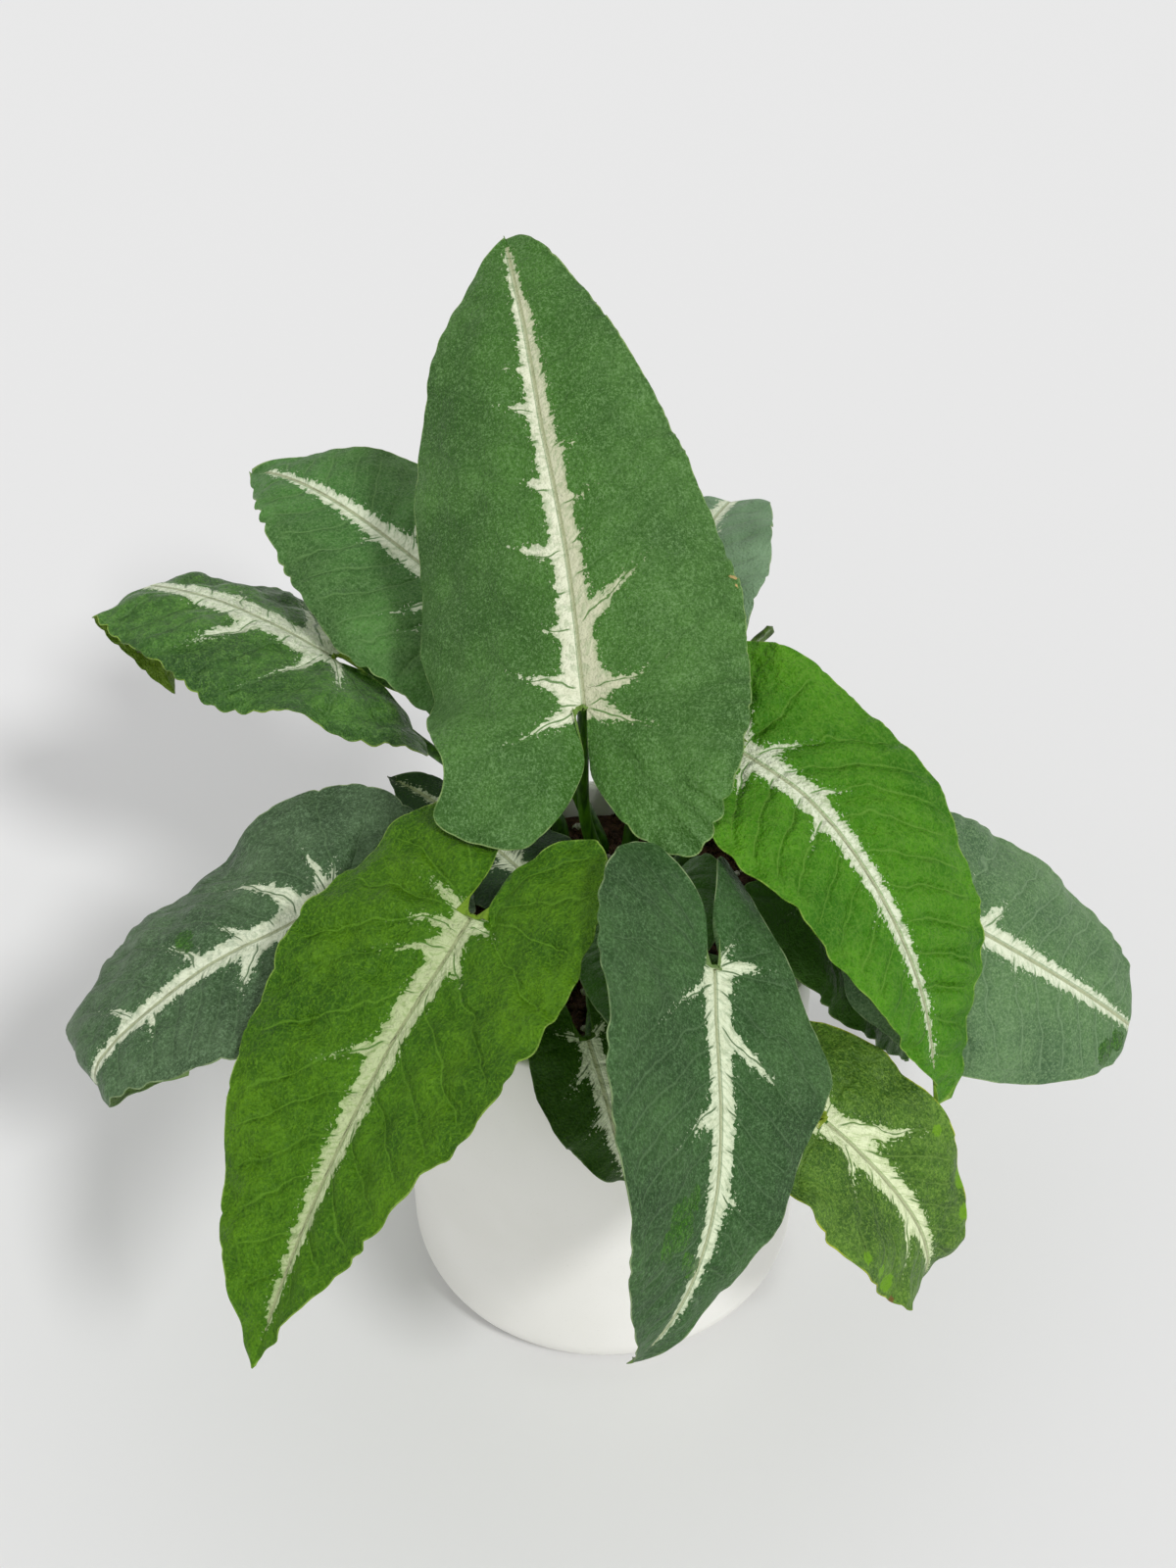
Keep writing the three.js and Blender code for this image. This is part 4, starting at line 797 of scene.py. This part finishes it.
# One blade: a fine sheet with its relief, given two faces and a closed margin
def bladeGeometry(leaf):
    surface = bladeSurface(leaf)
    length = leaf["length"]
    widest = max(leaf["halfWidths"])
    roundLength = max(lengthsAlong(marginLine(leaf, half, 200)[0])[-1] for half in (0, 1))
    ribs = int(roundLength / bladeMesh["cellAlong"])
    cells = int(widest / bladeMesh["cellAcross"])
    lastOnRib = int(round(bladeMesh["ribShare"] * ribs))
    t = np.linspace(0, 1, cells + 1) ** bladeMesh["innerCrowding"]
    halves = []
    for half, side in ((0, 1), (1, -1)):
        margin, scallop, beat, strength = marginLine(leaf, half, ribs)
        i = np.arange(ribs + 1)
        innerX = length * np.maximum(0, 1 - i / lastOnRib)
        innerY = np.zeros(ribs + 1)
        opening = smoothStep(i / ribs, bladeMesh["sinusOpening"], 1.0)
        innerX = innerX + margin[-1, 0] * opening ** 2
        innerY = innerY + margin[-1, 1] * opening
        scalloped = scallop[:, :, None] * t ** bladeMesh["scallopReach"]
        x = innerX[:, None] + (margin[:, 0] - innerX)[:, None] * t + scalloped[:, 0]
        aside = innerY[:, None] + (margin[:, 1] - innerY)[:, None] * t + scalloped[:, 1]
        centre = midribCentre(leaf, x)
        fromRib = np.maximum(aside - side * centre * (x > 0) * t, 0)
        y = side * fromRib + centre
        outer = margin + scallop
        flatX, flatY = x.ravel(), aside.ravel()
        edge = np.full(len(flatX), 1e9)
        for start in range(0, len(flatX), bladeMesh["edgeBlock"]):
            block = slice(start, start + bladeMesh["edgeBlock"])
            gaps = np.hypot(flatX[block, None] - outer[:, 0], flatY[block, None] - outer[:, 1])
            edge[block] = gaps.min(axis=1)
        number, reaches, widths = veinFinder(leaf, half)
        fromRibFlat = fromRib.ravel()
        here = number(flatX, fromRibFlat)
        nudge = bladeMesh["nudge"]
        slopeX = (number(flatX + nudge, fromRibFlat) - here) / nudge
        slopeY = (number(flatX, fromRibFlat + nudge) - here) / nudge
        gap = 1 / np.clip(np.hypot(slopeX, slopeY), *bladeMesh["gapSlopes"])
        silver = silverDepth(leaf, half, flatX, fromRibFlat, here, gap, reaches, widths)
        around = np.repeat((i / ribs)[:, None], cells + 1, axis=1)
        rippleStrength = strength[:, None] * t ** bladeMesh["rippleReach"] * leaf["marginRipple"][half]
        ripple = np.cos(2 * math.pi * beat)[:, None] * rippleStrength
        halves.append(dict(x=flatX, y=y.ravel(), reach=np.tile(t, ribs + 1), around=around.ravel(),
                           number=here, gap=gap, edge=edge, silver=silver, ripple=ripple.ravel()))
    flat = {key: np.concatenate([values[key] for values in halves]) for key in halves[0]}
    keys = np.round(np.stack([flat["x"], flat["y"]], axis=1), 4)
    first, where = np.unique(keys, axis=0, return_index=True, return_inverse=True)[1:]
    where = where.reshape(2, ribs + 1, cells + 1)
    faces = []
    for half in (0, 1):
        grid = where[half]
        corners = [grid[:-1, :-1], grid[1:, :-1], grid[1:, 1:], grid[:-1, 1:]]
        quads = np.stack(corners, axis=-1).reshape(-1, 4)
        if half == 0:
            quads = quads[:, ::-1]
        for quad in quads:
            kept = [v for n, v in enumerate(quad) if v != quad[n - 1]]
            if len(set(kept)) == len(kept) >= 3:
                faces.append(kept)
    flat = {key: values[first] for key, values in flat.items()}
    places = surface(flat["x"], flat["y"], flat["reach"], flat["around"])

    # relief: swollen cells between the veins, ripples of the margin, undulation and the midrib's groove
    aside = flat["y"] - midribCentre(leaf, flat["x"])
    fromRib = np.abs(aside)
    share = np.clip(flat["x"] / length, 0, 1)
    between = np.abs((flat["number"] + 0.5) % 1 - 0.5) * flat["gap"]
    calm = smoothStep(fromRib, 1, 6) * smoothStep(flat["edge"], 0, 5)
    swell = (1 - np.exp(-(between / bladeMesh["swellWidth"]) ** 2)) * calm
    ribShape = np.exp(-(fromRib / bladeMesh["midribWidth"]) ** 2) * (flat["x"] > -1)
    random = np.random.default_rng(int(leaf["phase"]) + 40)
    undulation = np.zeros(len(share))
    for k in range(bladeMesh["puckers"]):
        turn, beat = random.uniform(0, math.pi), random.uniform(*bladeMesh["puckerLengths"])
        onward = flat["x"] * math.cos(turn) + flat["y"] * math.sin(turn)
        undulation += np.sin(onward * 2 * math.pi / beat + random.uniform(0, 6.3))
    undulation *= leaf["pucker"] * smoothStep(fromRib, 1, 8)
    groove = bladeMesh["midribGroove"] * ribShape * (1 - 0.7 * share)
    relief = leaf["quilt"] * swell + flat["ripple"] + undulation - groove
    places = places + pointNormals(places, faces) * relief[:, None]
    normals = pointNormals(places, faces)

    # thickness, and the two faces with the rim between them
    thin, thick = bladeMesh["marginHalfThickness"], bladeMesh["halfThickness"]
    half = thin + (thick - thin) * smoothStep(flat["edge"], 0, 5)
    rib = np.exp(-(fromRib / bladeMesh["ribWidth"]) ** 2) * (flat["x"] > -1) * (1.05 - share)
    rib *= smoothStep(flat["edge"], 0, 3)
    below = half + bladeMesh["ribBelow"] * rib
    top = places + normals * half[:, None]
    bottom = places - normals * below[:, None]
    count = len(places)
    edges = dict.fromkeys((a, b) for face in faces for a, b in zip(face, face[1:] + face[:1]))
    rim = [(b, a, a + count, b + count) for a, b in edges if (b, a) not in edges]
    allFaces = faces + [[v + count for v in reversed(f)] for f in faces] + rim
    flags = [False] * (2 * len(faces)) + [True] * len(rim)

    def spots(kind):  # how far inside the nearest spot of one kind each point lies
        depth = np.full(count, -4.0)
        for x, y, radius in leaf[kind]:
            depth = np.maximum(depth, radius - np.hypot(flat["x"] - x, flat["y"] - y))
        return depth

    flatPlaces = [np.stack([flat["x"], aside, np.full(count, under)], axis=1) for under in (0, 1)]
    attributes = {"flatPlace": np.vstack(flatPlaces)}
    for name, vector in (("veinPlace", (flat["number"], flat["gap"], fromRib)),
                         ("markPlace", (flat["silver"], flat["edge"], spots("wetSpots"))),
                         ("spotPlace", [spots(kind) for kind in spotColours])):
        attributes[name] = np.tile(np.stack(vector, axis=1), (2, 1))
    return np.vstack([top, bottom]), allFaces, flags, attributes


def stalkPath(base, via, end, points):  # up from the hole in the soil, and on to end
    rise = [(*base, soilTop + above) for above in (-stalk["depth"], *stalk["uprightTo"])]
    return spacedAlong(splineThrough([*rise, *via, tuple(end)], mirrorEnds=True), points)


def stalkObject(leaf):
    surface = bladeSurface(leaf)

    def onBlade(x, y):
        return surface(*(np.array([value]) for value in (x, y, 0.0, 0.5)))[0]

    end = onBlade(stalk["ontoBlade"], 0.0)
    ahead = onBlade(stalk["ontoBlade"] + 1, 0.0) - end
    left = onBlade(stalk["ontoBlade"], 1.0) - end
    up = np.cross(ahead, left)
    up /= np.linalg.norm(up)
    end = end - up * stalk["belowBlade"]
    path = stalkPath(leaf["stalkBase"], leaf["stalkVia"], end, stalk["points"])
    mesh = bpy.data.meshes.new("path")
    mesh.from_pydata((path * metresPerMm).tolist(), [(i, i + 1) for i in range(len(path) - 1)], [])
    base = placed("path", mesh)
    small = stalk["smallTop"] if leaf["length"] < 60 else 1.0
    return grown(leaf["piece"] + "Stalk", base, stalkTree, {
        "Foot radius": stalk["footRadius"] * metresPerMm,
        "Top radius": stalk["topRadius"] * small * metresPerMm,
        "Sides": stalk["sides"], "Surface": stalkMaterial})


def makeLeaf(values):
    leaf = {**usualLeaf, **values}
    leaf["look"] = {**usualLook, **leafGreens[leaf["green"]], **leaf["look"]}
    points, faces, flatFaces, attributes = bladeGeometry(leaf)
    blade = meshObject(leaf["piece"], points, faces, [bladeMaterial(leaf)], flatFaces=flatFaces,
                       attributes=attributes)
    piece = joined([blade, stalkObject(leaf)])
    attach(piece, "root")
    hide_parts(leaf["node"])
    print("leaf", leaf["piece"], len(piece.data.polygons), "faces")


for values in leaves:
    makeLeaf(values)


# The young leaf, still rolled: one edge lies over the other and winds slowly round it
rolledLeaf = dict(base=(18, 24), via=((30, 42, 158), (43, 70, 181)), tip=(51, 78, 187), footRadius=2.4,
                  bellyRadius=2.5, tipRadius=1.7, point=1.2, steps=160, sides=40, overlap=0.16, winding=5.5)


def makeRolledLeaf():
    values = rolledLeaf
    path = stalkPath(values["base"], values["via"], values["tip"], values["steps"])
    share = np.linspace(0, 1, values["steps"] + 1)
    belly = values["footRadius"]
    belly = belly + (values["bellyRadius"] - belly) * smoothStep(share, 0.3, 0.6)
    radius = belly + (values["tipRadius"] - belly) * smoothStep(share, 0.7, 1)
    rolled = smoothStep(share, 0.35, 0.45)
    way = np.gradient(path, axis=0)
    way /= np.linalg.norm(way, axis=1, keepdims=True)
    sideways = np.cross(way, [0.3, -0.9, 0.1])
    sideways /= np.linalg.norm(sideways, axis=1, keepdims=True)
    across = np.cross(way, sideways)
    turn = np.linspace(0, 2 * math.pi, values["sides"], endpoint=False)
    seam = (turn[None, :] + values["winding"] * share[:, None]) % (2 * math.pi) / (2 * math.pi)
    step = values["overlap"] * rolled[:, None] * (1 - np.minimum(seam, (1 - seam) * 12))
    size = radius[:, None] * (1 - step)
    rings = (path[:, None] + sideways[:, None] * (size * np.cos(turn))[..., None]
             + across[:, None] * (size * np.sin(turn))[..., None])
    ends = path[:1], path[-1:] + way[-1:] * values["point"]
    points, faces = ringed([ends[0], *rings, ends[1]], values["sides"])
    material, nodes, shader = newMaterial("rolled leaf")
    place = nodes.stretched(nodes.objectPlace(), (500.0, 500.0, 60.0), (0.5, -0.3, 0.0))
    streak = nodes.ramp(nodes.noise(place, 1.0, 3.0), 0.35, 0.65)
    green = nodes.mix(streak, colour(46, 66, 18), colour(80, 108, 40))
    dress(nodes, shader, green, nodes.ramp(streak, 0.0, 1.0, 0.5, 0.38), streak, 0.0002, 0.7)
    piece = meshObject("rolledLeaf", points, faces, [material])
    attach(piece, "root")
    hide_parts("rolled_leaf")


makeRolledLeaf()
print("rolled leaf made")


# The pot: a straight wall on a rounded foot, turned finely, with the slight unevenness of a cast glaze
pot = dict(radius=62, height=140, wall=3.5, floor=6, footRounding=14, rimRounding=1.7, cornerReach=11,
           cornerRise=2.5, sides=256, unevenness=0.06)


def potProfile():
    outer, top = pot["radius"], pot["height"]
    inner, foot, lip = outer - pot["wall"], pot["footRounding"], pot["rimRounding"]
    profile = [(0, 0.6), (outer - foot - 8, 0.6), (outer - foot - 6.5, 0.0), (outer - foot, 0)]
    for step in range(1, 17):
        angle = step / 16 * math.pi / 2
        profile.append((outer - foot + foot * math.sin(angle), foot - foot * math.cos(angle)))
    profile += [(outer, z) for z in np.linspace(foot + 6, top - lip, 22)]
    for step in range(1, 9):
        angle = step / 8 * math.pi
        profile.append((outer - lip + lip * math.cos(angle), top - lip + lip * math.sin(angle)))
    profile += [(inner + 0.05, top - lip - 2), (inner, top - lip - 6), (inner, soilTop + 1),
                (inner, soilTop - 20),
                (inner, pot["floor"] + pot["cornerReach"]), (inner - 1.2, pot["floor"] + 6.5),
                (inner - 5.5, pot["floor"] + pot["cornerRise"]), (inner - pot["cornerReach"], pot["floor"]),
                (0, pot["floor"])]
    return profile


def potRing(r, z):
    if r == 0:
        return [(0, 0, z)]
    points = []
    for k in range(pot["sides"]):
        angle = 2 * math.pi * k / pot["sides"]
        swing = math.sin(3 * angle + z * 0.05) + 0.6 * math.sin(7 * angle - z * 0.11)
        out = r + pot["unevenness"] * swing
        points.append((out * math.cos(angle), out * math.sin(angle), z))
    return points


def makePotMaterial():
    material, nodes, shader = newMaterial("satin white glaze")
    place = nodes.objectPlace()
    cloud = nodes.ramp(nodes.noise(place, 22.0, 3.0), 0.35, 0.65)
    fleck = nodes.ramp(nodes.noise(place, 1400.0, 1.0), 0.68, 0.76)
    # painted shade: the glaze darkens over the lowest 12 mm of the rounded foot, towards the floor
    foot = nodes.ramp(nodes.parts(place)[2], 0.012, 0.0)
    glaze = nodes.mix(cloud, colour(238, 237, 231), colour(242, 241, 236))
    glaze = nodes.mix(nodes.times(fleck, 0.12), glaze, colour(196, 192, 182))
    glaze = nodes.mix(nodes.times(foot, 0.35), glaze, colour(224, 221, 212))
    relief = nodes.plus(nodes.times(nodes.noise(place, 160.0, 3.0), 0.6),
                        nodes.times(nodes.noise(place, 900.0, 2.0), 0.15))
    dress(nodes, shader, glaze, nodes.ramp(cloud, 0.0, 1.0, 0.34, 0.42), relief, 0.0001, 0.6)
    shader.inputs["Specular IOR Level"].default_value = 0.4
    return material


def makePot():
    points, faces = ringed([potRing(r, z) for r, z in potProfile()], pot["sides"])
    piece = meshObject("whitePot", points, faces, [makePotMaterial()])
    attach(piece, "root")
    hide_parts("pot")


makePot()
print("pot made")


# Soil: its top follows the part's crumbs, and loose crumbs and white perlite lie on it
soil = dict(radius=58.15, depth=121.35, crumbHeight=1.1, spacing=1.3, sides=180)
# Loose grains: how many lie on the soil, their smallest and largest size and lumpiness in m
grainKinds = {"soilCrumbs": dict(count=1500, smallest=0.0006, largest=0.0022, lumpiness=0.0012, seed=3),
              "perliteGrains": dict(count=130, smallest=0.0008, largest=0.0021, lumpiness=0.0009, seed=11)}


def crumbHeight(x, y):
    return soil["crumbHeight"] * (0.6 * np.sin(0.31 * x + 1.7) * np.cos(0.27 * y - 0.6)
                                  + 0.4 * np.sin(0.83 * x - 0.9 * y) * np.cos(0.71 * y + 0.4 * x))


def soilSurface(x, y):
    fine = (0.35 * np.sin(1.9 * x + 0.7 * y) * np.sin(2.3 * y - 0.5 * x + 1)
            + 0.2 * np.sin(3.7 * x) * np.cos(3.1 * y))
    calm = 1 - smoothStep(np.hypot(x, y), soil["radius"] - 3, soil["radius"])
    return soilTop + (crumbHeight(x, y) + fine) * (0.3 + 0.7 * calm)


def makeSoilMaterial():
    material, nodes, shader = newMaterial("potting soil")
    place = nodes.objectPlace()
    clump = nodes.ramp(nodes.noise(place, 260.0, 4.0, 0.65), 0.35, 0.68)
    fibre = nodes.ramp(nodes.noise(place, 900.0, 3.0, 0.7), 0.45, 0.7)
    brown = nodes.mix(clump, colour(34, 18, 12), colour(92, 56, 38))
    brown = nodes.mix(nodes.times(fibre, 0.5), brown, colour(128, 84, 60))
    roughness = nodes.ramp(clump, 0.0, 1.0, 0.95, 0.75)
    dress(nodes, shader, brown, roughness, nodes.plus(clump, fibre), 0.0006, 0.8)
    return material


def makePerliteMaterial():
    material, nodes, shader = newMaterial("perlite")
    place = nodes.objectPlace()
    pore = nodes.ramp(nodes.noise(place, 1500.0, 3.0, 0.6), 0.38, 0.6)
    white = nodes.mix(pore, colour(178, 172, 160), colour(236, 234, 228))
    dress(nodes, shader, white, nodes.ramp(pore, 0.0, 1.0, 0.95, 0.8), pore, 0.0002, 0.8)
    return material


def soilMesh(name, materials, closed):
    count, sides = int(soil["radius"] / soil["spacing"]), soil["sides"]
    angle = 2 * math.pi * np.arange(sides) / sides

    def ring(r, height=None):
        x, y = r * np.cos(angle), r * np.sin(angle)
        return list(zip(x, y, soilSurface(x, y) if height is None else np.full(sides, height)))

    rings = [[(0, 0, float(soilSurface(0.0, 0.0)))]]
    rings += [ring(soil["radius"] * k / count) for k in range(1, count + 1)]
    if closed:
        bottom, corner = soilTop - soil["depth"], pot["cornerReach"]
        rings += [ring(soil["radius"], bottom + corner), ring(soil["radius"] - corner, bottom),
                  [(0, 0, bottom)]]
    points, faces = ringed(rings, sides, flipped=True)
    return meshObject(name, points, faces, materials)


# Grains strewn over a surface by Geometry Nodes, each one a small lump pushed out of round
def makeGrainTree():
    tree, nodes, given, result = newGroup("GeometryNodeTree", "strewn grains", [
        ("Geometry", "Geometry"), ("Grains per square metre", "Float", 100000.0),
        ("Smallest", "Float", 0.0006), ("Largest", "Float", 0.002), ("Lumpiness", "Float", 0.0008),
        ("Seed", "Int", 3),
        ("Surface", "Material")], [("Geometry", "Geometry")])

    def drawn(kind, low, high, seed):  # a random value for each grain
        first, out = (2, 1) if kind == "FLOAT" else (0, 0)
        return nodes.make("FunctionNodeRandomValue", {first: low, first + 1: high, "Seed": seed},
                          data_type=kind).outputs[out]

    def scaled(vector, scale):
        return nodes.make("ShaderNodeVectorMath", {0: vector, "Scale": scale}, operation="SCALE").outputs[0]

    spots = nodes.make("GeometryNodeDistributePointsOnFaces", {
        "Mesh": given["Geometry"], "Density": given["Grains per square metre"],
        "Seed": given["Seed"]}).outputs[0]
    grain = nodes.make("GeometryNodeMeshUVSphere", {"Segments": 8, "Rings": 6, "Radius": 1.0}).outputs[0]
    size = drawn("FLOAT", given["Smallest"], given["Largest"], given["Seed"])
    turn = drawn("FLOAT_VECTOR", (0.0, 0.0, 0.0), (6.28, 6.28, 6.28), given["Seed"])
    shape = drawn("FLOAT_VECTOR", (0.6, 0.6, 0.45), (1.2, 1.0, 0.8), 7)
    strewn = nodes.make("GeometryNodeInstanceOnPoints", {
        "Points": spots, "Instance": grain, "Scale": scaled(shape, size), "Rotation": turn}).outputs[0]
    real = nodes.make("GeometryNodeRealizeInstances", {"Geometry": strewn}).outputs[0]
    place = nodes.make("GeometryNodeInputPosition").outputs[0]
    noise = nodes.make("ShaderNodeTexNoise", {"Vector": place, "Scale": 900.0, "Detail": 1.0})
    centred = nodes.make("ShaderNodeVectorMath", {0: noise.outputs["Color"], 1: (0.5, 0.5, 0.5)},
                         operation="SUBTRACT").outputs[0]
    lumpy = nodes.make("GeometryNodeSetPosition", {
        "Geometry": real, "Offset": scaled(centred, given["Lumpiness"])}).outputs[0]
    done = nodes.make("GeometryNodeSetMaterial", {
        "Geometry": lumpy, "Material": given["Surface"]}).outputs[0]
    nodes.plug(done, result[0])
    return tree


def makeSoil():
    soilMaterial, perliteMaterial = makeSoilMaterial(), makePerliteMaterial()
    bed = soilMesh("soilBed", [soilMaterial], True)
    grainTree = makeGrainTree()
    limit = soil["radius"] * metresPerMm

    def strewn(name, baseName, material):
        kind = grainKinds[name]
        return grown(name, soilMesh(baseName, [], False), grainTree, {
            "Grains per square metre": kind["count"] / (math.pi * limit ** 2), "Smallest": kind["smallest"],
            "Largest": kind["largest"], "Lumpiness": kind["lumpiness"], "Seed": kind["seed"],
            "Surface": material})

    crumbs = strewn("soilCrumbs", "crumbBase", soilMaterial)
    perlite = strewn("perliteGrains", "perliteBase", perliteMaterial)
    for piece in (bed, crumbs, perlite):
        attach(piece, "root")
    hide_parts("soil")
    for grains in (crumbs, perlite):  # keep every grain inside the pot's wall
        mesh = grains.data
        places = np.empty(len(mesh.vertices) * 3)
        mesh.vertices.foreach_get("co", places)
        places = places.reshape(-1, 3)
        reach = np.hypot(places[:, 0], places[:, 1])
        places[:, :2] *= np.minimum(1, limit / np.maximum(reach, 1e-9))[:, None]
        mesh.vertices.foreach_set("co", places.ravel())
        mesh.update()
        print(grains.name, len(mesh.polygons), "faces")


makeSoil()


# Studio: pale floor, soft light from everywhere, and one soft lamp at the front right
studio = dict(floorColour=colour(231, 231, 231), roomStrength=0.70, sunStrength=1.4, sunSoftness=9.0,
              sunFrom=(0.41, -0.57, 0.71), lens=51.75, sensorWidth=36, cameraPlace=(-0.005, -0.4758, 0.6053),
              cameraTilt=49)


def makeStudio():
    floor = bpy.data.meshes.new("paleFloor")
    floor.from_pydata([(-4, -4, 0), (4, -4, 0), (4, 6, 0), (-4, 6, 0)], [], [(0, 1, 2, 3)])
    material, _, shader = newMaterial("pale floor")
    shader.inputs["Base Color"].default_value = studio["floorColour"]
    shader.inputs["Roughness"].default_value = 0.9
    shader.inputs["Specular IOR Level"].default_value = 0.0
    floor.materials.append(material)
    piece = placed("paleFloor", floor)
    world = bpy.data.worlds.new("soft white room")
    scene.world = world
    world.use_nodes = True
    background = world.node_tree.nodes["Background"]
    background.inputs["Color"].default_value = (1, 1, 1, 1)
    background.inputs["Strength"].default_value = studio["roomStrength"]
    lamp = bpy.data.lights.new("soft sun", "SUN")
    lamp.energy = studio["sunStrength"]
    lamp.angle = math.radians(studio["sunSoftness"])
    lampObject = placed("soft sun", lamp)
    lampObject.location = studio["sunFrom"]
    lampObject.rotation_euler = Vector(studio["sunFrom"]).to_track_quat("Z", "Y").to_euler()


def makeCamera():
    camera = bpy.data.cameras.new("camera")
    camera.lens = studio["lens"]
    camera.sensor_width = studio["sensorWidth"]
    camera.clip_end = 20
    cameraObject = placed("camera", camera)
    cameraObject.location = studio["cameraPlace"]
    cameraObject.rotation_euler = (math.radians(studio["cameraTilt"]), 0, 0)
    scene.camera = cameraObject


makeStudio()
makeCamera()
scene.view_settings.view_transform = "Standard"
print("studio and camera made")
